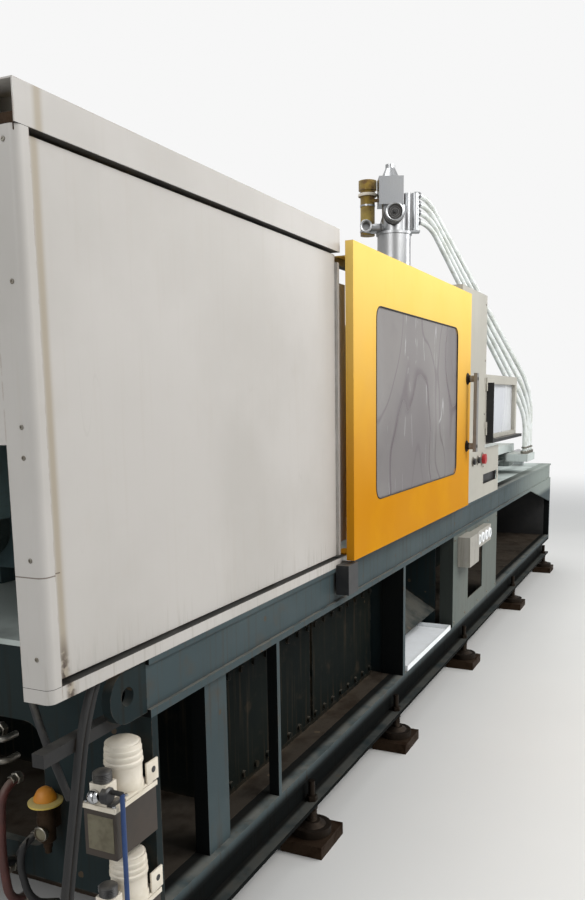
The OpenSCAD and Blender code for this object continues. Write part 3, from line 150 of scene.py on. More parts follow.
def line_piece(name, points, radius, closed=False):
    curve = bpy.data.curves.new(name, "CURVE")
    curve.dimensions = "3D"
    curve.bevel_depth = 1.0
    curve.bevel_resolution = 5
    curve.use_fill_caps = not closed
    spline = curve.splines.new("POLY")
    spline.points.add(len(points) - 1)
    for spot, place in zip(spline.points, points):
        spot.co = (*place, 1.0)
        spot.radius = radius / 1000
    spline.use_cyclic_u = closed
    spline.use_smooth = True
    return new_object(name, curve)


hoses = []
for number in range(4):
    route = hose_route(number)
    hose = line_piece(f"loader_hose_{number + 1}", route, HOSE_R)
    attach(hose, "carriage")
    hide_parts("loader_hoses")
    hoses.append(hose)
    print(hose.name, "length", round(length_of(route), 3))

# %% [markdown]
# Every finish here is built from nodes, so a few helpers come first. They all work on
# the node tree that was opened last. One adds a shader node and fills its inputs, with
# a number or with another node's output; the others are the sums and blends that masks
# are made of. Two more open and close a node group, and the last lays one colour over
# another where such a group says.

# %% Node helpers
def open_tree(opened):
    global tree
    tree = opened


def add(kind, inputs=None, **settings):
    made = tree.nodes.new("ShaderNode" + kind)
    for key, value in settings.items():
        setattr(made, key, value)
    for key, value in (inputs or {}).items():
        if isinstance(value, bpy.types.NodeSocket):
            tree.links.new(value, made.inputs[key])
        else:
            made.inputs[key].default_value = value
    return made


def calc(operation, *values):
    clamped = operation not in ("SUBTRACT", "DIVIDE")
    return add("Math", dict(enumerate(values)), operation=operation, use_clamp=clamped).outputs[0]


def times(mask, share):
    return calc("MULTIPLY", mask, share)


def plus(one, other):
    return calc("ADD", one, other)


def minus(one, other):
    return calc("SUBTRACT", one, other)


def without(mask):
    return minus(1.0, mask)


def gap_to(value, place):
    return calc("ABSOLUTE", minus(value, place))


def near(value, place, within):
    return calc("LESS_THAN", gap_to(value, place), within)


def step(value, low, high):
    inputs = {"Value": value, "From Min": low, "From Max": high}
    return add("MapRange", inputs, interpolation_type="SMOOTHSTEP").outputs["Result"]


def cover(mask, under, colour):
    under, colour = (shade(*c) if isinstance(c, tuple) and len(c) == 3 else c for c in (under, colour))
    return add("Mix", {0: mask, 6: under, 7: colour}, data_type="RGBA").outputs[2]


def object_place():
    return add("TexCoord").outputs["Object"]


def object_normal():
    return add("TexCoord").outputs["Normal"]


def split(vector):
    return add("SeparateXYZ", {0: vector}).outputs


def clouds(scale, place=None, detail=4.0, rough=0.55):
    inputs = {"Vector": place or object_place(), "Scale": scale, "Detail": detail, "Roughness": rough}
    return add("TexNoise", inputs).outputs["Fac"]


def open_group(name, **inputs):
    open_tree(bpy.data.node_groups.new(name, "ShaderNodeTree"))
    for label, value in inputs.items():
        tree.interface.new_socket(label, in_out="INPUT", socket_type="NodeSocketFloat").default_value = value
    return tree, tree.nodes.new("NodeGroupInput").outputs


def close_group(result, label="Mask"):
    tree.interface.new_socket(label, in_out="OUTPUT", socket_type="NodeSocketFloat")
    tree.links.new(result, tree.nodes.new("NodeGroupOutput").inputs[label])
    print(tree.name, len(tree.nodes), "nodes")


def use(effect, **values):
    made = tree.nodes.new("ShaderNodeGroup")
    made.node_tree = effect
    for key, value in values.items():
        made.inputs[key].default_value = value
    return made.outputs[0]


def layer(under, colour, share, effect, **values):
    return cover(times(use(effect, **values), share), under, colour)


print("helpers ready")

# %% [markdown]
# An old machine isn't one flat colour. Its paint has faded in large soft patches, and
# these patches are a noise with its middle stretched to full contrast. The same group
# serves any size of patch, from a cloud of fading to a thumb-sized stain.

# %% Patches
patches, given = open_group("Patches", Size=0.4, From=0.45, To=0.65)
field = clouds(calc("DIVIDE", 1.0, given["Size"]))
close_group(step(field, given["From"], given["To"]))

# %% [markdown]
# Oil and rain run down a wall and leave upright streaks. A noise that is squeezed
# across and stretched downwards gives them, and a second, broader noise breaks them
# up so that they don't cover the whole sheet.

# %% Runs
runs, given = open_group("Runs", Width=0.02, Length=0.5, Share=0.5)
across, along = (calc("DIVIDE", 1.0, given[size]) for size in ("Width", "Length"))
squeeze = add("CombineXYZ", {"X": across, "Y": across, "Z": along}).outputs[0]
squeezed = add("VectorMath", {0: object_place(), 1: squeeze}, operation="MULTIPLY").outputs[0]
streak = step(clouds(1.0, squeezed, 3.0), 0.52, 0.72)
low = minus(0.75, given["Share"])
broad = step(clouds(2.2), low, plus(low, 0.3))
close_group(times(streak, broad))

# %% [markdown]
# Dust settles on whatever faces up. The object's own normal tells how level a face is,
# and a noise keeps the layer uneven.

# %% Settled dust
dust, given = open_group("Settled dust", Size=0.12)
level = step(split(object_normal())["Z"], 0.35, 0.95)
uneven = step(clouds(calc("DIVIDE", 1.0, given["Size"])), 0.25, 0.6)
close_group(times(level, uneven))

# %% [markdown]
# Small chips, oil drops and rust spots are round. Voronoi cells give one centre each,
# a cell's random colour decides whether it carries a spot, and the distance from the
# centre draws it.

# %% Specks
specks, given = open_group("Specks", Size=0.03, Share=0.2)
scale = calc("DIVIDE", 1.0, given["Size"])
cells = add("TexVoronoi", {"Vector": object_place(), "Scale": scale, "Randomness": 1.0}).outputs
chance = add("SeparateColor", {0: cells["Color"]}).outputs[0]
chosen = calc("LESS_THAN", chance, given["Share"])
spot = calc("LESS_THAN", cells["Distance"], times(clouds(30.0), 0.45))
close_group(times(chosen, spot))

# %% [markdown]
# Paint rubs off the edges first. The Bevel node gives the normal that a rounded edge
# would have, so where it differs from the real normal there is an edge. Noise makes
# the worn line patchy.

# %% Worn edges
worn, given = open_group("Worn edges", Radius=0.004, Patchy=0.5)
rounded = add("Bevel", {"Radius": given["Radius"]}, samples=4).outputs[0]
true = add("NewGeometry").outputs["Normal"]
agree = add("VectorMath", {0: rounded, 1: true}, operation="DOT_PRODUCT").outputs["Value"]
broken = step(clouds(26.0, detail=6.0), given["Patchy"], plus(given["Patchy"], 0.12))
close_group(times(step(without(agree), 0.01, 0.12), broken))

# %% [markdown]
# Grime gathers in corners and in the gaps between sheets, where no cloth reaches. The
# Ambient Occlusion node finds such places by how much of the sky a point can't see.

# %% Corner grime
corner_grime, given = open_group("Corner grime", Reach=0.05)
closed_in = add("AmbientOcclusion", {"Distance": given["Reach"]}, samples=6).outputs["AO"]
ragged = step(clouds(18.0, detail=5.0), 0.3, 0.62)
close_group(times(step(without(closed_in), 0.18, 0.85), ragged))

# %% [markdown]
# The base is open, but little light reaches what lies inside it: whatever stands back
# from its two sides, low down near the floor, or turned to the clamp end. That shade is
# painted: place and normal give one mask for all three, and low down, on the rails'
# webs, the dark also stands for real grime.

# %% Painted shade inside
inside, given = open_group("Painted shade inside", Edge=0.685)
here, facing = split(object_place()), split(object_normal())
deep = step(minus(given["Edge"], calc("ABSOLUTE", here["Y"])), 0.0, 0.03)
foot = without(step(here["Z"], 0.29, 0.33))
upward = calc("GREATER_THAN", facing["Z"], 0.5)
web = times(foot, without(times(upward, 0.4)))
turned_away = calc("LESS_THAN", facing["X"], -0.5)
close_group(calc("MAXIMUM", calc("MAXIMUM", deep, web), turned_away))

# %% [markdown]
# Sprayed paint has a fine skin like an orange's, and rolled sheet is never quite flat.
# Two noises far apart in size give a height that a Bump node can use. Fine scratches
# come from the thin line where a stretched noise crosses its middle value.

# %% Skin and scratches
skin, given = open_group("Paint skin", Fine=0.35)
fine = times(clouds(900.0, detail=1.0), given["Fine"])
close_group(plus(fine, times(clouds(3.0, detail=1.0), 0.6)), "Height")

scratches, given = open_group("Scratches", Size=0.08, Thin=0.004)
turned = add("Mapping", {"Vector": object_place(), "Rotation": (0.5, 0.4, 0.3), "Scale": (1, 1, 0.12)})
wander = clouds(calc("DIVIDE", 1.0, given["Size"]), turned.outputs[0], 1.0, 0.5)
close_group(times(near(wander, 0.5, given["Thin"]), step(clouds(7.0), 0.5, 0.6)))

# %% [markdown]
# Painted metal covers most of the machine: cream covers, yellow gates, grey panels and
# a blue-green base. They share one recipe, so one function builds each paint with its
# own colours and its own amount of fading, runs, dust, grime and bare edges.

# %% Painted metal
# The near-black fourth colour is painted shade, for the inside of the base and the cover's ledges.
GRIME, DUST, SHADE_BLACK, BARE = (74, 62, 48), (150, 143, 130), (16, 16, 15), (92, 84, 76)


def new_material(name):
    made = bpy.data.materials.new(name)
    made.use_nodes = True
    open_tree(made.node_tree)
    tree.nodes.clear()
    shader = add("BsdfPrincipled")
    add("OutputMaterial", {0: shader.outputs[0]})
    print("material", name)
    return made, shader


def finish_with(shader, colour, rough, height=None, strength=0.2, distance=0.001):
    tree.links.new(colour, shader.inputs["Base Color"])
    tree.links.new(rough, shader.inputs["Roughness"])
    if height:
        bump = add("Bump", {"Height": height, "Strength": strength, "Distance": distance})
        tree.links.new(bump.outputs[0], shader.inputs["Normal"])


def painted(name, paint, faded, bare=BARE, gloss=0.5, patch=0.6, streaks=0.3, settled=0.5, wear=0.6,
            spots=0.06, run_colour=GRIME, inner_shade=0.0, shine=0.5):
    made, shader = new_material(name)
    shader.inputs["Specular IOR Level"].default_value = shine
    colour = layer(paint, faded, patch, patches, Size=0.55, From=0.38, To=0.66)
    run_mask = times(use(runs, Width=0.018, Length=0.45, Share=0.55), streaks)
    colour = cover(run_mask, colour, run_colour)
    colour = layer(colour, run_colour, streaks, patches, Size=0.09, From=0.58, To=0.8)
    colour = layer(colour, GRIME, 0.8, specks, Size=0.045, Share=spots)
    corner = times(use(corner_grime, Reach=0.045), 0.6)
    colour = layer(cover(corner, colour, GRIME), DUST, settled, dust, Size=0.11)
    edge = times(use(worn, Radius=0.004, Patchy=0.47), wear)
    colour = layer(cover(edge, colour, bare), faded, 0.25, scratches, Size=0.1, Thin=0.003)
    # The inner amount paints shade inside the base: near black where little light reaches, with the
    # reflection dimmed there too.
    if inner_shade:
        black = times(use(inside), inner_shade)
        colour = cover(black, colour, SHADE_BLACK)
        dimmed = minus(shine, times(black, shine))
        tree.links.new(dimmed, shader.inputs["Specular IOR Level"])
    dull = plus(times(run_mask, 0.3), times(corner, 0.3))
    rough = plus(plus(gloss, dull), times(clouds(9.0), 0.14))
    height = minus(use(skin, Fine=0.3), times(edge, 0.6))
    finish_with(shader, colour, rough, height, 0.12)
    return made


# The base and service paints carry painted shade inside the base through their inner amounts.
base_paint = painted("base paint", (54, 67, 70), (69, 81, 83), streaks=0.4, settled=0.35, patch=0.55,
                     inner_shade=0.95, shine=0.2)
# A darker copy of the base paint, for the bulkheads and drop chute inside the base, is painted shade.
shaded_base = painted("base paint inside", (26, 37, 39), (36, 43, 42), gloss=0.55, streaks=0.5, settled=0.25,
                    run_colour=(40, 34, 26), shine=0.1)
oily_floor = painted("oily floor plate", (46, 38, 31), (26, 22, 19), gloss=0.6, settled=0.08,
                     run_colour=(30, 24, 18), shine=0.03)
tank_paint = painted("tank paint", (16, 21, 20), (25, 28, 24), gloss=0.6, settled=0.2, spots=0.02, shine=0.03)
cast_paint = painted("casting paint", (74, 96, 99), (94, 112, 112))
cover_paint = painted("cover paint", (186, 181, 175), (172, 167, 160), (128, 100, 76), 0.4, streaks=0.04,
                      settled=0.45, wear=0.55, spots=0.0, run_colour=(150, 130, 96))
panel_paint = painted("panel paint", (178, 174, 162), (164, 160, 149), (120, 112, 102), 0.38, streaks=0.05,
                      settled=0.35, spots=0.0)
# Its inner amount paints shade on the folds turned to the clamp end.
service_paint = painted("service panel paint", (88, 96, 91), (100, 104, 97), spots=0.02, inner_shade=0.7,
                        shine=0.25)
box_paint = painted("electrical box paint", (164, 160, 150), (146, 142, 134), gloss=0.42, spots=0.0)
carriage_paint = painted("carriage paint", (186, 194, 190), (198, 204, 200))

# %% [markdown]
# The cover has marks of its own: a brown band down the edge where the corner post meets
# the panel, rust at that edge's foot, dark runs that start at the panel's foot, a thin
# seam across the post, and a black line of painted shade along the two ledges in which
# the gate's hangers slide. Each is a mask of the place, laid over the paint that is there.
# The plates of the deck get their pale grey in the same way, which is painted light
# falling on them from above. So does the top rail at the injection end, whose paler
# paint there is painted light.

# %% Stains, painted shade and painted light on the paint
def lay_marks(material, marks_of):
    open_tree(material.node_tree)
    shader = next(n for n in tree.nodes if n.bl_idname == "ShaderNodeBsdfPrincipled")
    colour = shader.inputs["Base Color"].links[0].from_socket
    for mask, tint in marks_of(split(object_place())):
        colour = cover(mask, colour, tint)
    tree.links.new(colour, shader.inputs["Base Color"])
    print(material.name, len(tree.nodes), "nodes")


# The deck's plates are made paler than those near the floor: painted light falling on them from above.
def lit_deck(here):
    uneven = times(use(patches, Size=0.4, From=0.2, To=0.5), 0.9)
    return [(times(step(here["Z"], 0.85, 0.9), uneven), (184, 192, 187))]


# Towards the injection end the base's upper paint is made paler: painted light.
def lit_feed_end(here):
    there = times(step(here["X"], 1.2, 3.1), step(here["Z"], 0.74, 0.8))
    return [(times(there, 0.75), (150, 158, 151))]


def cover_stains_and_shade(here):
    edge = without(step(gap_to(here["X"], -3.287), 0.002, 0.02))
    low_foot = without(step(here["Z"], 1.05, 1.14))
    ragged = step(clouds(34.0, detail=5.0), 0.36, 0.5)
    rust = times(times(edge, low_foot), ragged)
    foot = without(step(here["Z"], 1.04, 1.12))
    drops = times(foot, use(runs, Width=0.012, Length=0.2, Share=0.45))
    seam = times(near(here["Z"], 1.255, 0.0014), calc("LESS_THAN", here["X"], -3.284))
    # The black line along each ledge is painted shade in the slot there.
    ledges = [times(near(here["Z"], up, 0.0006), 0.92) for up in (1.021, 2.111)]
    return [(times(edge, 0.7), (150, 136, 112)), (times(rust, 0.9), (58, 40, 30)),
            (times(drops, 0.35), (112, 100, 78)), (times(seam, 0.75), (84, 66, 50)),
            (ledges[0], SHADE_BLACK), (ledges[1], SHADE_BLACK)]


lay_marks(oily_floor, lit_deck)
lay_marks(base_paint, lit_feed_end)
lay_marks(cover_paint, cover_stains_and_shade)

# %% [markdown]
# The gate's yellow isn't even: it is painted pale at the top, where the light falls, and
# a deep orange at the foot, as painted light and shade. A gradient on the height blends
# the two before the usual wear, so this paint gets its own recipe with the same groups.

# %% Gate paint
gate_paint, shader = new_material("gate paint")
# Paler towards the top and darker at the foot: painted light and shade on the height.
rise = step(split(object_place())["Z"], 1.15, 2.4)
lit_top_blend = plus(times(rise, 0.85), times(clouds(1.6), 0.12))
colour = cover(lit_top_blend, (188, 121, 0), (255, 221, 126))
colour = layer(colour, (236, 180, 12), 0.12, patches, Size=0.35, From=0.45, To=0.7)
colour = layer(colour, (206, 138, 20), 0.06, runs, Width=0.05, Length=0.8, Share=0.45)
colour = layer(colour, (120, 74, 22), 0.7, corner_grime, Reach=0.03)
colour = layer(colour, (120, 82, 40), 0.5, worn, Radius=0.003, Patchy=0.52)
shader.inputs["Specular IOR Level"].default_value = 0.004
rough = plus(0.32, times(clouds(7.0), 0.16))
finish_with(shader, colour, rough, use(skin, Fine=0.2), 0.1)

# %% [markdown]
# Metals take their look from how rough they are and in which way they were worked.
# One function stretches a noise along one direction for brushing or turning marks,
# and adds a film of oil or rust where it is asked for.

# %% Bare metals
def metal(name, colour, rough, marks, film=(96, 84, 66), film_share=0.4, film_size=0.3, depth=0.1):
    made, shader = new_material(name)
    shader.inputs["Metallic"].default_value = 1.0
    colour = shade(*colour)
    place = add("Mapping", {"Vector": object_place(), "Scale": marks}).outputs[0]
    brushed = clouds(8.0, place, 3.0)
    filmed = times(use(patches, Size=film_size, From=0.45, To=0.7), film_share)
    tone = cover(brushed, colour, (*(v * 0.72 for v in colour[:3]), 1.0))
    tone = layer(cover(filmed, tone, film), GRIME, 0.6, corner_grime, Reach=0.03)
    value = plus(plus(rough - 0.08, times(brushed, 0.16)), times(filmed, 0.35))
    finish_with(shader, tone, value, brushed, depth, 0.0004)
    return made


steel = metal("oiled steel", (158, 156, 150), 0.36, (12, 40, 40))
bright_steel = metal("ground rod", (205, 206, 208), 0.14, (4, 50, 50), film_share=0.12, depth=0.04)
stainless = metal("brushed stainless", (188, 190, 192), 0.3, (50, 50, 4), (120, 112, 100), 0.22)
zinc = metal("zinc screw", (150, 146, 136), 0.4, (30, 30, 30), (92, 72, 52), 0.5, 0.05)
rusty = metal("rusty iron", (66, 53, 42), 0.7, (30, 30, 30), (44, 31, 22), 0.75, 0.06, 0.4)
dark_cast = metal("greasy cast iron", (54, 47, 41), 0.62, (30, 30, 30), (32, 26, 21), 0.7, 0.08, 0.4)

# %% [markdown]
# Plastics and rubber aren't metal; their colour lies under a soft gloss. One function
# builds them with mottling, dust on top and a fine grain, so that a black handle, a
# cream cap and a red button differ only in their values.

# %% Plastics and rubber
def plastic(name, colour, second, rough=0.45, mottled=0.5, size=0.06, settled=0.4, grain=500.0):
    made, shader = new_material(name)
    tone = layer(colour, second, mottled, patches, Size=size, From=0.4, To=0.68)
    tone = layer(tone, GRIME, 0.5, corner_grime, Reach=0.02)
    tone = layer(tone, DUST, settled, dust, Size=0.05)
    value = plus(rough, times(clouds(25.0), 0.15))
    finish_with(shader, tone, value, clouds(grain, detail=2.0), 0.1, 0.0005)
    return made


black_plastic = plastic("black plastic", (30, 30, 32), (48, 47, 46), 0.38, settled=0.25)
grey_plastic = plastic("grey plastic", (120, 118, 116), (98, 95, 92), 0.4)
rubber = plastic("black rubber", (22, 22, 23), (40, 38, 36), 0.62, settled=0.3, grain=300.0)
red_plastic = plastic("red plastic", (176, 34, 40), (140, 24, 32), 0.28, settled=0.1)
cream_plastic = plastic("cream plastic", (228, 218, 201), (196, 184, 160), 0.42, settled=0.3)
label_plate = plastic("bare label plate", (106, 100, 80), (84, 76, 58), 0.55, 0.8, 0.03)
white_plastic = plastic("white plastic", (248, 250, 251), (236, 237, 236), 0.3, settled=0.05)
amber_plastic = plastic("amber tank plastic", (50, 39, 29), (33, 26, 20), 0.35, 0.7, 0.1, 0.1)
orange_plastic = plastic("orange cap plastic", (196, 128, 20), (170, 92, 14), 0.45, 0.4, 0.03, 0.1)
yellow_plastic = plastic("yellow flange plastic", (206, 180, 84), (170, 146, 70))
blue_tube = plastic("blue tube plastic", (30, 62, 112), (20, 44, 88), 0.35, 0.5, 0.1, 0.1)
black_hose = plastic("black hose rubber", (20, 20, 20), (32, 30, 28), 0.6, settled=0.06, grain=300.0)
red_hose = plastic("red-brown hose rubber", (84, 42, 36), (56, 34, 30), 0.5)

# %% [markdown]
# The loader hoses are milky plastic that lets some light through, with pellets' dust
# inside. A little subsurface light would be slow; a pale colour, a soft gloss and a
# coat give the same look at this size.

# %% Milky hose
milky, shader = new_material("milky hose")
tone = cover(use(patches, Size=0.12, From=0.4, To=0.66), (230, 233, 230), (208, 211, 204))
tone = layer(tone, (176, 176, 160), 0.4, patches, Size=0.03, From=0.5, To=0.75)
rough = plus(0.16, times(clouds(20.0), 0.2))
finish_with(shader, tone, rough, clouds(60.0, detail=1.0), 0.1)
shader.inputs["Coat Weight"].default_value = 0.3
shader.inputs["Coat Roughness"].default_value = 0.1

# %% [markdown]
# The gate's window is a thin clear sheet that years of cleaning have turned cloudy. It
# mirrors the hall in large bent shapes: soft fields with a dark purple-grey rim, drawn
# where a slow noise crosses a few values. Alpha lets a little of the inside show.

# %% Cloudy sheet
def cloudy_sheet(name, colour, second, rim_colour, low, high):
    made, shader = new_material(name)
    place = add("Mapping", {"Vector": object_place(), "Scale": (1.5, 1.5, 0.9)}).outputs[0]
    waves = clouds(1.1, place, 1.5, 0.4)
    fields = step(waves, 0.4, 0.6)
    tone = cover(fields, colour, second)
    for level, width, share in ((0.44, 0.006, 0.5), (0.52, 0.01, 0.65), (0.6, 0.005, 0.4)):
        rim = without(step(gap_to(waves, level), 0.0, width))
        tone = cover(times(rim, share), tone, rim_colour)
    tone = layer(tone, second, 0.5, patches, Size=0.3, From=0.5, To=0.75)
    tone = layer(tone, (226, 226, 226), 0.3, scratches, Size=0.2, Thin=0.003)
    see = add("MapRange", {"Value": fields, "To Min": low, "To Max": high}).outputs["Result"]
    tree.links.new(see, shader.inputs["Alpha"])
    finish_with(shader, tone, plus(0.14, times(fields, 0.2)), waves, 0.5, 0.01)
    return made


gate_sheet = cloudy_sheet("cloudy gate sheet", (132, 127, 124), (112, 106, 106), (82, 68, 74), 0.95, 0.99)
guard_sheet = cloudy_sheet("guard sheet", (226, 228, 230), (206, 208, 212), (180, 180, 186), 0.85, 0.95)

# %% [markdown]
# The filter sleeve is cloth soaked with yellow-brown dust. Two noises mottle it, and
# two crossed waves, fine as threads, give the weave its height.

# %% Filter cloth
filter_cloth, shader = new_material("filter cloth")
tone = cover(use(patches, Size=0.05, From=0.38, To=0.62), (150, 122, 44), (108, 78, 36))
tone = layer(tone, (176, 154, 78), 0.7, patches, Size=0.16, From=0.45, To=0.65)
tone = layer(tone, (76, 52, 28), 0.6, specks, Size=0.02, Share=0.3)
threads = [add("TexWave", {"Vector": object_place(), "Scale": 260.0, "Distortion": 0.6},
               bands_direction=way).outputs["Fac"] for way in ("DIAGONAL", "Z")]
weave = times(*threads)
finish_with(shader, tone, plus(0.78, times(weave, 0.15)), weave, 0.5, 0.0008)
shader.inputs["Sheen Weight"].default_value = 0.3

# %% [markdown]
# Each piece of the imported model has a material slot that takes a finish. A table of
# finish and node names keeps the whole machine's finishes in one place.

# %% Finishes of the model's pieces
FINISHES = [
    (base_paint, "bottom_rails top_rails base_posts end_frame"),
    (shaded_base, "bulkheads drop_chute"),
    (oily_floor, "base_plates"),
    (service_paint, "base_side_panels"),
    (tank_paint, "oil_tank tank_covers pump_set"),
    (cast_paint, "rear_platen clamp_cylinder stationary_platen moving_platen crosshead "
                 "injection_cylinders drive_motor"),
    (carriage_paint, "injection_carriage"),
    (cover_paint, "roof_cover side_frame side_panel rear_cover end_panel corner_posts"),
    (panel_paint, "operator_panel barrel_guard"),
    (gate_paint, "front_gate rear_gate"),
    (gate_sheet, "front_gate_window"),
    (guard_sheet, "guard_window"),
    (black_plastic, "left_button right_button gate_stop_block"),
    (grey_plastic, "front_gate_handle suction_motor"),
    (red_plastic, "stop_button"),
    (rubber, "guard_seal"),
    (black_hose, "lube_lines"),
    (steel, "tie_bar_nuts slide_shoes gate_tracks barrel heater_bands slide_gate"),
    (bright_steel, "tie_bars clamp_ram ejector_rod guide_rods screw"),
    (stainless, "hopper loader"),
    (filter_cloth, "filter_sleeve"),
    (white_plastic, "drop_tray"),
    (cream_plastic, "lube_pumps"),
    (box_paint, "electrical_boxes"),
    (amber_plastic, "lube_reservoirs"),
    (rusty, "foot_blocks"),
    (dark_cast, "levelling_feet"),
]
for material, names in FINISHES:
    for name in names.split():
        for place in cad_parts[name].material_slots:
            place.material = material
for hose in hoses:
    hose.data.materials.append(milky)
print("finished nodes", sum(len(names.split()) for _, names in FINISHES))

# %% [markdown]
# The small pieces are made in bmesh. Four helpers cover most of them: a block with
# rounded edges, a lathe that spins a profile round an axis, and bolts and screws, which
# are such turned shapes with six or twelve sides. Then come helpers that close a mesh
# or a line, give it its finish and make it ride with the body that carries it, and two
# that round the corners of a line.

# %% Mesh helpers
UP, TO_CLAMP, TO_FRONT = (0, 0, 1), (-1, 0, 0), (0, -1, 0)


def put_block(bm, low, high, round_by=0.0):
    corners = bmesh.ops.create_cube(bm, size=1.0)["verts"]
    bmesh.ops.scale(bm, vec=at(*high) - at(*low), verts=corners)
    bmesh.ops.translate(bm, vec=(at(*low) + at(*high)) / 2, verts=corners)
    if round_by:
        edges = list({e for v in corners for e in v.link_edges})
        bmesh.ops.bevel(bm, geom=edges, offset=round_by / 1000, affect="EDGES", segments=2, profile=0.5,
                        material=-1)


def lathe(bm, profile, centre, axis, steps=32):
    axis = Vector(axis).normalized()
    side = axis.orthogonal().normalized()
    points = [bm.verts.new(centre + (axis * along + side * radius) / 1000) for radius, along in profile]
    edges = [bm.edges.new(pair) for pair in zip(points, points[1:])]
    bmesh.ops.spin(bm, geom=points + edges, cent=centre, axis=axis, dvec=(0, 0, 0), angle=2 * pi,
                   steps=steps, use_merge=True)


def put_bolt(bm, place, facing, across=19, tall=9):
    lathe(bm, [(0, 2.5), (across * 0.95, 2.5), (across * 0.95, 0)], place, facing, 20)
    corner, top = across / 2 * 1.15, tall + 2.5
    lathe(bm, [(0, top), (corner * 0.82, top), (corner, top - 1.6), (corner, 2.5)], place, facing, 6)


def put_screw(bm, place, facing, radius=6, tall=3):
    profile = [(0, tall * 0.4), (radius * 0.42, tall * 0.4), (radius * 0.42, tall), (radius * 0.8, tall),
               (radius, tall * 0.5), (radius, -0.5)]
    lathe(bm, profile, place, facing, 12)


def ride_with(made, body):
    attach(made, body)
    print(made.name, "rides with", body)
    return made


def piece(name, bm, material, body="machine", smooth=38):
    bmesh.ops.remove_doubles(bm, verts=bm.verts, dist=1e-6)
    bmesh.ops.recalc_face_normals(bm, faces=bm.faces)
    mesh = bpy.data.meshes.new(name)
    bm.to_mesh(mesh)
    bm.free()
    mesh.materials.append(material)
    mesh.shade_smooth()
    mesh.set_sharp_from_angle(angle=radians(smooth))
    return ride_with(new_object(name, mesh), body)


def turned_piece(name, profile, centre, axis, material, body="machine", steps=32):
    bm = bmesh.new()
    lathe(bm, profile, centre, axis, steps)
    piece(name, bm, material, body)


def line_on(name, points, radius, material, body="machine", closed=False):
    made = line_piece(name, points, radius, closed)
    made.data.materials.append(material)
    return ride_with(made, body)


STEPS = 6


def rounded_path(corners, radius):
    path = []
    for i, corner in enumerate(corners):
        before, after = corners[i - 1], corners[(i + 1) % len(corners)]
        a = corner + (before - corner).normalized() * radius / 1000
        b = corner + (after - corner).normalized() * radius / 1000
        path += [a * (1 - t) ** 2 + corner * 2 * t * (1 - t) + b * t ** 2
                 for t in (k / STEPS for k in range(STEPS + 1))]
    return path


def soft_line(corners, radius):
    return [corners[0]] + rounded_path(corners, radius)[STEPS + 1:-STEPS - 1] + [corners[-1]]


# %% [markdown]
# The cover's sheets are held by small screws: down both corner posts at the clamp end
# and along the end panel's edges. They are one mesh, because they are all the same
# screw and all stay with the machine.

# %% Cover screws
screws = bmesh.new()
for side in (-1, 1):
    for up in (1085, 1290, 1495, 1555, 1830, 2085):
        put_screw(screws, at(0, side * 670, up), TO_CLAMP, 5, 2)
for across in range(-560, 561, 224):
    for up in (1545, 2165):
        put_screw(screws, at(0, across, up), TO_CLAMP, 5, 2)
piece("cover_screws", screws, zinc)

# %% [markdown]
# Where the roof meets the corner post the sheet is cut back, and a rusty angle plate
# with one bolt shows in the notch.

# %% Notch plate
notch = bmesh.new()
for side in (-1, 1):
    put_block(notch, (3, side * 694, 2098), (34, side * 660, 2106), 2)
    put_block(notch, (3, side * 694, 2098), (8, side * 660, 2132), 1.5)
    put_bolt(notch, at(20, side * 676, 2106), UP, 13, 7)
piece("notch_plates", notch, rusty)

# %% [markdown]
# The gate's window is a thin sheet that has gone wavy between its screws. A grid of
# small faces stands for it: each point moves out by a smooth noise, less near the rim,
# where the sheet is clamped. Solidify then gives the sheet its 3 mm.

# %% Gate window
SHEET_THICK, WAVE_OUT = 0.003, 0.006
window_low, window_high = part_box("front_gate_window")
sheet = bmesh.new()
bmesh.ops.create_grid(sheet, x_segments=70, y_segments=44, size=0.5)
for v in sheet.verts:
    u, w = v.co.x * 2, v.co.y * 2
    rim = min(1.0, (1 - abs(u)) * 5, (1 - abs(w)) * 4)
    x = window_low.x + (u + 1) / 2 * (window_high.x - window_low.x)
    z = window_low.z + (w + 1) / 2 * (window_high.z - window_low.z)
    wave = noise.noise((x * 2.6, 0.3, z * 1.1)) + 0.4 * noise.noise((x * 6.0, 5.0, z * 2.5))
    v.co = (x, window_low.y + SHEET_THICK / 2 + WAVE_OUT * rim * (0.5 + 0.5 * wave), z)
wavy = piece("wavy_window", sheet, gate_sheet, "gate", 80)
solid = wavy.modifiers.new("thickness", "SOLIDIFY")
solid.thickness = SHEET_THICK
solid.offset = 0.0
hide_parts("front_gate_window")

# %% [markdown]
# A dark rubber bead runs round the window where the sheet meets the yellow steel. It
# is one closed round line on the gate's face, so a curve with a bevel suits it.

# %% Window bead
gate_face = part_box("front_gate")[0].y * 1000
rim = [at(along, gate_face, up) for along, up in ((1810, 1210), (3035, 1210), (3035, 1950), (1810, 1950))]
line_on("window_bead", rounded_path(rim, 55), 2.6, rubber, "gate", True)

# %% [markdown]
# The handle bar stands on two posts. Each post has a dark flange with a domed nut where
# it meets the gate, and a small cap where it meets the bar. All of it is turned work.

# %% Handle flanges
HANDLE, GATE_SIDE, BAR_SIDE = 3250, 750, 808
for body, side, name in (("gate", -1, "front"), ("back_gate", 1, "rear")):
    flanges = bmesh.new()
    for up in (1340, 1700):
        foot = at(HANDLE, side * GATE_SIDE, up)
        lathe(flanges, [(31, 0), (31, 4), (27, 7), (20, 9), (19, 16), (17, 18)], foot, (0, side, 0), 28)
        tip = at(HANDLE, side * BAR_SIDE, up)
        lathe(flanges, [(0, 2.4), (7, 2), (11, 0), (11, -1)], tip, (0, side, 0), 20)
    piece(f"{name}_handle_flanges", flanges, dark_cast, body)

# %% [markdown]
# Round the three push buttons lie turned bezels, and each button has a domed head, red
# on the stop button. The panel itself is held by screws, and a shallow black tray lies
# behind its slot.

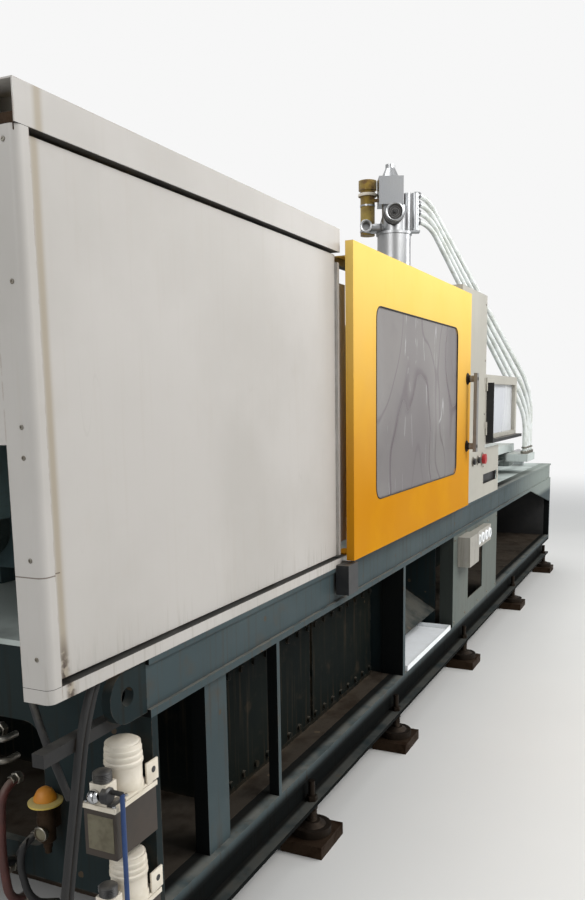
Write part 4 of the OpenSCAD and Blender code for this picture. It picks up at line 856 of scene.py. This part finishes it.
# %% Operator panel details
PANEL_FACE, BUTTON_ROW = -700, 1228
tray = bmesh.new()
for low, high in (((3895, -681, 1058), (4305, -678, 1138)), ((3895, -690, 1135), (4305, -678, 1138)),
                  ((3895, -690, 1058), (3898, -678, 1138)), ((4302, -690, 1058), (4305, -678, 1138))):
    put_block(tray, low, high, 0.5)
piece("vent_slot_tray", tray, black_plastic)

bezels = bmesh.new()
for along, radius in ((3620, 22), (3740, 22), (3860, 33)):
    ring = [(radius, -0.5), (radius, 3), (radius + 3, 5), (radius + 6, 3.5), (radius + 7, -0.5)]
    lathe(bezels, ring, at(along, PANEL_FACE, BUTTON_ROW), TO_FRONT)
for up in (1180, 1500, 1820, 2150):
    for along in (3350, 3895):
        put_screw(bezels, at(along, PANEL_FACE, up), TO_FRONT)
piece("button_bezels", bezels, zinc)

HEAD = ((0, 2.4), (0.4, 2.1), (0.72, 1.2), (0.93, -0.4), (0.97, -2), (1.02, -5), (1.02, -8), (0.9, -9))
BUTTONS = [("button_a", "left_button", "black_plastic", black_plastic),
           ("button_b", "right_button", "black_plastic", black_plastic),
           ("button_stop", "stop_button", "red_plastic", red_plastic)]
for body, node, slot_name, material in BUTTONS:
    low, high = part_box(node)
    radius = (high.x - low.x) / 2 * 1000
    middle = Vector(((low.x + high.x) / 2, low.y, (low.z + high.z) / 2))
    dome = [(radius * share, out) for share, out in HEAD]
    turned_piece(f"{node}_head", dome, middle, TO_FRONT, material, body)

# %% [markdown]
# On the base, screws hold the service panel on either side. The four sockets have a
# turned rim and three small pins inside.

# %% Service panel details
SOCKET_ROW, RIM_FOOT, SOCKET_FOOT, PIN_RING = 766, -745, -736, 8
fittings = bmesh.new()
for side in (-1, 1):
    for along in (3230, 3480, 3800, 4060, 4318):
        for up in (352, 818):
            put_screw(fittings, at(along, side * 700, up), (0, side, 0), 7, 4)
piece("service_fittings", fittings, zinc)

rims, sockets = bmesh.new(), bmesh.new()
for along in (3617.5, 3712.5, 3807.5, 3902.5):
    rim = [(20, 1), (20, 8), (24, 10), (30, 8), (33, 0), (33, -1)]
    lathe(rims, rim, at(along, RIM_FOOT, SOCKET_ROW), TO_FRONT, 28)
    socket = [(0, 2), (17, 2), (19, 0), (19, -2)]
    lathe(sockets, socket, at(along, SOCKET_FOOT, SOCKET_ROW), TO_FRONT, 24)
    for turn_by in (radians(a) for a in (90, 210, 330)):
        pin = at(along + PIN_RING * cos(turn_by), SOCKET_FOOT, SOCKET_ROW + PIN_RING * sin(turn_by))
        lathe(sockets, [(0, 7), (2, 6.5), (2.4, 2)], pin, TO_FRONT, 8)
piece("socket_rims", rims, white_plastic)
piece("socket_faces", sockets, black_plastic)

# %% [markdown]
# Behind the service panel the base's rear side and its end are closed from inside by
# plain black sheets, which stand for the shade in there and let no light fall through.
# A narrow stile closes the cover's end behind the gate in the same way, on both sides.

# %% Black shade sheets and stiles
# Black sheets that stand for the shade inside the base.
standin_sheets = bmesh.new()
put_block(standin_sheets, (4345, 655, 292), (6672, 661, 848), 1)
put_block(standin_sheets, (6644, -655, 292), (6650, 655, 848), 1)
piece("shade_standin_sheets", standin_sheets, black_hose)
stiles = bmesh.new()
for side in (-1, 1):
    put_block(stiles, (1572, side * 688, 1075), (1648, side * 668, 2010), 1.5)
piece("cover_end_stiles", stiles, cover_paint)

# %% [markdown]
# Each levelling stud is threaded. A thread this fine reads as close rings, so a turned
# zigzag profile, a little prouder than the plain stud, does for all twelve.

# %% Stud threads
STUD_R, RIDGE, PITCH_UP = 17, 2, 6
profile = [(STUD_R, 62)]
for k in range(11):
    profile += [(STUD_R + RIDGE, 64 + k * PITCH_UP), (STUD_R, 67 + k * PITCH_UP)]
thread = bmesh.new()
for along in (480, 1330, 2290, 3580, 5110, 6580):
    for side in (-1, 1):
        lathe(thread, profile, at(along, side * 675, 0), UP, 14)
piece("stud_threads", thread, dark_cast)

# %% [markdown]
# The two lubrication pumps are the nearest small things to the camera, so they get the
# most detail: a cap with stepped rings, a foot flange with its screws, a knurled black
# valve with a bright dome, and a bare plate where a label would be.

# %% Lubrication pumps
for name, plate_z in (("upper", 685), ("lower", 400)):
    caps = bmesh.new()
    rings = [(47, 0), (47, 20), (44, 24), (44, 62)]
    for k in range(3):
        base = 66 + k * 15
        rings += [(45.5 - k, base), (47 - k, base + 2), (47 - k, base + 9), (44.2 - k, base + 12)]
    rings += [(42, 112), (40, 119), (35, 123), (0, 124.5)]
    lathe(caps, rings, at(273, -662.5, plate_z), UP, 40)
    put_block(caps, (216, -709, plate_z - 1), (324, -618, plate_z + 8), 3)
    put_block(caps, (298, -711, plate_z + 4), (346, -705, plate_z + 58), 2)
    piece(f"{name}_pump_cap", caps, cream_plastic)

    plate_screws = bmesh.new()
    for along, across in ((180, -702), (330, -702), (180, -623), (330, -623)):
        put_screw(plate_screws, at(along, across, plate_z), UP, 5, 4)
    for across in (-700, -628):
        put_screw(plate_screws, at(228, across, plate_z + 8), UP, 5, 4)
    dome = [(17, 0), (17, 6), (15, 12), (10, 17), (4, 19.5), (0, 20)]
    lathe(plate_screws, dome, at(174, -654, plate_z + 22), TO_CLAMP, 24)
    lathe(plate_screws, [(9, 0), (9, 12), (6, 15), (0, 16)], at(196, -640, plate_z + 54), UP, 6)
    piece(f"{name}_pump_screws", plate_screws, bright_steel)

    valve = bmesh.new()
    knurl = [(20, 0)]
    for k in range(6):
        knurl += [(23, 2 + k * 4), (21, 4 + k * 4)]
    lathe(valve, knurl + [(14, 28), (0, 28)], at(194, -662, plate_z + 52), UP, 20)
    lathe(valve, [(20, 0), (20, 14), (16, 18), (0, 18)], at(180, -676, plate_z + 26), TO_FRONT, 24)
    put_block(valve, (176, -700, plate_z), (212, -634, plate_z + 10), 2)
    lathe(valve, [(0, 0.6), (8, 0.5), (8, -0.5)], at(325, -711, plate_z + 34), TO_FRONT, 20)
    piece(f"{name}_pump_valve", valve, black_plastic)

    label = bmesh.new()
    put_block(label, (173.5, -701, plate_z - 112), (177, -628, plate_z - 26), 1.5)
    piece(f"{name}_label_plate", label, label_plate)

line_on("lube_tube", [at(186, -722, up) for up in range(434, 720, 15)], 5.8, blue_tube)

# %% [markdown]
# On the end bulkhead, beside the pumps, sits the oil filler: a brown body with a yellow
# flange and an orange dome, and under it a round gauge with a plain white dial and a
# short black tail.

# %% Oil filler and gauge
filler_at = at(300, -385, 0)
dome = [(30, 588), (29, 596), (20, 612), (11, 619), (0, 621)]
turned_piece("filler_dome", dome, filler_at, UP, orange_plastic)
flange = [(22, 574), (44, 578), (45, 583), (38, 587), (27, 588)]
turned_piece("filler_flange", flange, filler_at, UP, yellow_plastic)
filler = bmesh.new()
walls = [(0, 470), (16, 470), (22, 476), (23, 520), (25, 524), (25, 540), (23, 544), (23, 580)]
lathe(filler, walls, filler_at, UP, 28)
put_block(filler, (300, -397, 500), (342, -373, 560), 2)
lathe(filler, [(9, 440), (9, 452), (12, 456), (12, 470)], filler_at, UP, 16)
piece("filler_body", filler, rusty)

gauge_at = at(278, -387, 503)
case = [(0, -4), (19, -4), (20, 0), (20, 7), (18, 9), (17, 7), (17, 4)]
turned_piece("gauge_case", case, gauge_at, TO_CLAMP, zinc)
dial = bmesh.new()
lathe(dial, [(0, 4.2), (17.2, 4.2)], gauge_at, TO_CLAMP)
put_block(dial, (273.2, -388, 500), (274.2, -386, 517))
piece("gauge_dial", dial, label_plate)

# %% [markdown]
# The open end under the cover is full of pipes and hoses for the clamp cylinder. They
# are fixed lines that run from fitting to fitting, each a round-bevelled curve whose
# corners are softened. Steel pipes are straight with tight bends, hoses sag.

# %% Clamp end pipes and hoses
for number, up in enumerate((725, 664), 1):
    pipe = [at(along, across, up) for along, across in ((352, 300), (300, 300), (300, -250), (352, -250))]
    line_on(f"steel_pipe_{number}", soft_line(pipe, 24), 9, steel)
BULKHEAD = 340
BENDS = [
    (rubber, 15, (345, -215, 740), (262, -215, 735), (250, -222, 560), (262, -226, 380), (350, -226, 352)),
    (red_hose, 12, (345, -262, 610), (272, -262, 606), (262, -258, 420), (276, -262, 270), (350, -262, 262)),
    (rubber, 10, (350, -330, 470), (290, -326, 470), (275, -300, 420), (270, -340, 300), (350, -360, 262)),
    (rubber, 16, (850, -300, 1290), (640, -330, 1270), (420, -360, 1110), (390, -380, 1000),
     (388, -380, 985)),
    (rubber, 16, (850, 260, 1280), (640, 300, 1250), (430, 340, 1110), (396, 360, 1000), (394, 360, 985)),
    (rubber, 9, (150, -600, 700), (120, -560, 860), (180, -470, 930), (300, -420, 900), (350, -420, 870)),
]
for number, (material, radius, *corners) in enumerate(BENDS, 1):
    line = soft_line([at(*c) for c in corners], radius * 5)
    line_on(f"clamp_hose_{number}", line, radius, material)
ends = bmesh.new()
for material, radius, *corners in BENDS[:3]:
    fitting = [(radius + 5, 0), (radius + 5, 16), (radius + 2, 18), (radius + 2, 34), (radius, 36)]
    for _, across, up in (corners[0], corners[-1]):
        lathe(ends, fitting, at(BULKHEAD, across, up), TO_CLAMP, 6)
piece("hose_fittings", ends, zinc)

# %% [markdown]
# The tower over the hopper is turned to face the feed side, so its small pieces are
# placed in the tower's own directions: across, outwards and up from the throat's line.

# %% Tower helper
def on_tower(across, outward, up):
    x = across * cos(TOWER) - outward * sin(TOWER)
    y = across * sin(TOWER) + outward * cos(TOWER)
    return at(THROAT + x, y, up)


tower_front = (on_tower(0, -1, 0) - on_tower(0, 0, 0)).normalized()
print("tower faces", [round(v, 2) for v in tower_front])

# %% [markdown]
# The suction motor's end is a dark grille in a pale ring, and thin fins run round its
# body. Rings, boss and fins are turned about the motor's axis.

# %% Suction motor grille
motor_at = on_tower(-12, -165, 2787)
grille = bmesh.new()
for radius in (14, 26, 38):
    ring = [(radius, 3), (radius + 2, 5), (radius + 4, 3), (radius + 2, 1), (radius, 3)]
    lathe(grille, ring, motor_at, tower_front)
lathe(grille, [(0, 7), (8, 6), (10, 2), (10, -6)], motor_at, tower_front, 20)
piece("motor_grille", grille, black_plastic, "carriage")
ring = [(47, -2), (48, 4), (53, 6), (60.5, 3), (61.5, -6), (60.5, -12)]
turned_piece("motor_ring", ring, motor_at, tower_front, stainless, "carriage", 40)
fins = bmesh.new()
for k in range(7):
    back = motor_at - tower_front * (0.05 + 0.008 * k)
    lathe(fins, [(60, 0), (64, 0.5), (64, 2.5), (60, 3)], back, tower_front)
piece("motor_fins", fins, black_plastic, "carriage")

# %% [markdown]
# Clips close the loader's drum, a clamp holds each hose and both ends of the filter
# sleeve, and a grey cable runs from the motor down to the head. The elbow's open mouth
# has a rolled rim, and a cap closes the sleeve.

# %% Loader fittings
clamps = bmesh.new()
for up in (2705, 2870):
    lathe(clamps, [(48, 0), (51, 1), (51, 11), (48, 12)], on_tower(-168, 85, up), UP)
for number in range(4):
    way = Vector((*(nut_place(number) - spigots).normalized(), 0))
    start = at(*spigots, SPIGOTS_UP + SPIGOT_STEP * number)
    lathe(clamps, [(18, 26), (25, 27), (25, 37), (18, 38)], start, way, 24)
for turn_by in (radians(a) for a in (40, 160, 280)):
    outward = Vector((cos(turn_by), sin(turn_by), 0))
    for up in (2412, 2460):
        clip = at(THROAT, 0, up) + 0.112 * outward
        lathe(clamps, [(0, 12), (7, 11), (9, 6), (9, -4)], clip, outward, 12)
mouth = [(26, 0), (30, 3), (38, 4), (41, 0), (38.2, -4)]
lathe(clamps, mouth, on_tower(-192, -95, 2715), tower_front, 36)
piece("loader_clamps", clamps, stainless, "carriage")

bends = [(-12, -120, 2850), (-40, -150, 2848), (-80, -130, 2790), (-96, -60, 2730), (-84, -40, 2690)]
cable = soft_line([on_tower(*bend) for bend in bends], 25)
line_on("motor_cable", cable, 4, grey_plastic, "carriage")
cap = [(60, 0), (63, 2), (64, 14), (58, 20), (40, 24), (0, 26)]
turned_piece("sleeve_cap", cap, on_tower(-168, 85, 2935), UP, cream_plastic, "carriage")

# %% [markdown]
# Where the hoses end, each goes into a hexagonal nut on the manifold, with a round
# clamp above it.

# %% Manifold nuts
nuts = bmesh.new()
for number in range(4):
    foot = at(*nut_place(number), 1150)
    lathe(nuts, [(26, 0), (29, 2), (29, 20), (26, 23)], foot, UP, 6)
    lathe(nuts, [(19, 44), (23, 45), (23, 55), (19, 56)], foot, UP, 24)
piece("manifold_nuts", nuts, zinc, "carriage")

# %% [markdown]
# Inside, the platens and the drive motor are held by large bolts. They can be seen
# when a gate is open or from above, and each of the three bodies has one mesh of them.

# %% Large bolts
AXIS_UP = 1500


def put_ring(bm, along, facing, radius, count, first, across, tall):
    for k in range(count):
        turn_by = radians(first + 360 / count * k)
        place = at(along, radius * cos(turn_by), AXIS_UP + radius * sin(turn_by))
        put_bolt(bm, place, (facing, 0, 0), across, tall)


RINGS = [("fixed_bolts", "machine", 850, -1, 232, 12, 15, 30, 18),
         ("moving_bolts", "clamp", 2010, -1, 200, 8, 22.5, 30, 16),
         ("motor_bolts", "injector", 5440, 1, 95, 6, 30, 18, 10)]
for name, body, *ring in RINGS:
    bolts = bmesh.new()
    put_ring(bolts, *ring)
    if body == "machine":
        for across, up in ((-395, -395), (-395, 395), (395, -395), (395, 395)):
            put_bolt(bolts, at(850, across, AXIS_UP + up), TO_CLAMP, 46, 23)
    piece(name, bolts, zinc, body)

# %% [markdown]
# The machine stands on a plain pale floor that fades into the white far behind it, so
# that no horizon shows. Floor and backdrop are stage, not part of the object. The
# world lights softly from all sides; through Light Path the camera, gloss and glass
# see plain white instead of it.

# %% Floor and world
bm = bmesh.new()
bmesh.ops.create_grid(bm, x_segments=1, y_segments=1, size=40.0)
floor_mesh = bpy.data.meshes.new("floor")
bm.to_mesh(floor_mesh)
bm.free()
floor = new_object("floor", floor_mesh)
PLAIN = (0.93, 0.93, 0.93, 1)
floor_finish, shader = new_material("pale floor")
surface = shader.outputs[0].links[0].to_socket
tone = cover(clouds(0.8), (206, 204, 200), (214, 212, 208))
finish_with(shader, tone, plus(0.75, times(clouds(5.0), 0.1)))
reach = add("VectorMath", {0: object_place()}, operation="LENGTH").outputs["Value"]
plain = add("Emission", {"Color": PLAIN, "Strength": 1.0}).outputs[0]
seen_far = times(step(reach, 5.0, 14.0), add("LightPath").outputs["Is Camera Ray"])
tree.links.new(add("MixShader", {0: seen_far, 1: shader.outputs[0], 2: plain}).outputs[0], surface)
floor_mesh.materials.append(floor_finish)

world = bpy.data.worlds.new("studio")
world.use_nodes = True
open_tree(world.node_tree)
tree.nodes.clear()
seen = add("LightPath").outputs
direct = plus(seen["Is Camera Ray"], seen["Is Transmission Ray"])
skies = ((PLAIN, 1.0), ((0.80, 0.86, 0.92, 1), 0.52), ((0.9, 0.9, 0.9, 1), 0.7))
white, soft, mirrored = (add("Background", {0: tint, 1: power}).outputs[0] for tint, power in skies)
glossy = add("MixShader", {0: seen["Is Glossy Ray"], 1: soft, 2: mirrored}).outputs[0]
add("OutputWorld", {0: add("MixShader", {0: direct, 1: glossy, 2: white}).outputs[0]})
bpy.context.scene.world = world
print("world nodes", len(tree.nodes))

# %% [markdown]
# Wide lamps, whose shadows are soft, shape the object: one high on the operator side,
# weaker ones beyond the clamp end and over the roof. Two smaller ones brighten the
# gate's top and the feed side, as the hall's own lamps do.

# %% Lamps
for name, place, target, width, height, watts in (
        ("operator side light", (-0.6, -6.3, 6.2), (-0.4, 0.0, 1.4), 6.0, 3.0, 420),
        ("clamp end light", (-8.5, 1.0, 5.0), (-2.0, 0.0, 1.3), 4.0, 3.0, 160),
        ("gate light", (-1.3, -3.0, 3.9), (-1.5, -0.7, 1.9), 1.4, 0.8, 20),
        ("feed side light", (4.6, -4.2, 3.8), (2.4, -0.4, 1.1), 2.4, 1.6, 70),
        ("roof light", (1.0, 1.0, 7.0), (0.5, 0.0, 1.0), 6.0, 4.0, 220)):
    light = bpy.data.lights.new(name, "AREA")
    light.shape = "RECTANGLE"
    light.size = width
    light.size_y = height
    light.energy = watts
    made = new_object(name, light)
    made.location = place
    made.rotation_euler = (Vector(target) - Vector(place)).to_track_quat("-Z", "Y").to_euler()

bpy.context.scene.view_settings.view_transform = "Standard"
print("lamps", len(bpy.data.lights))
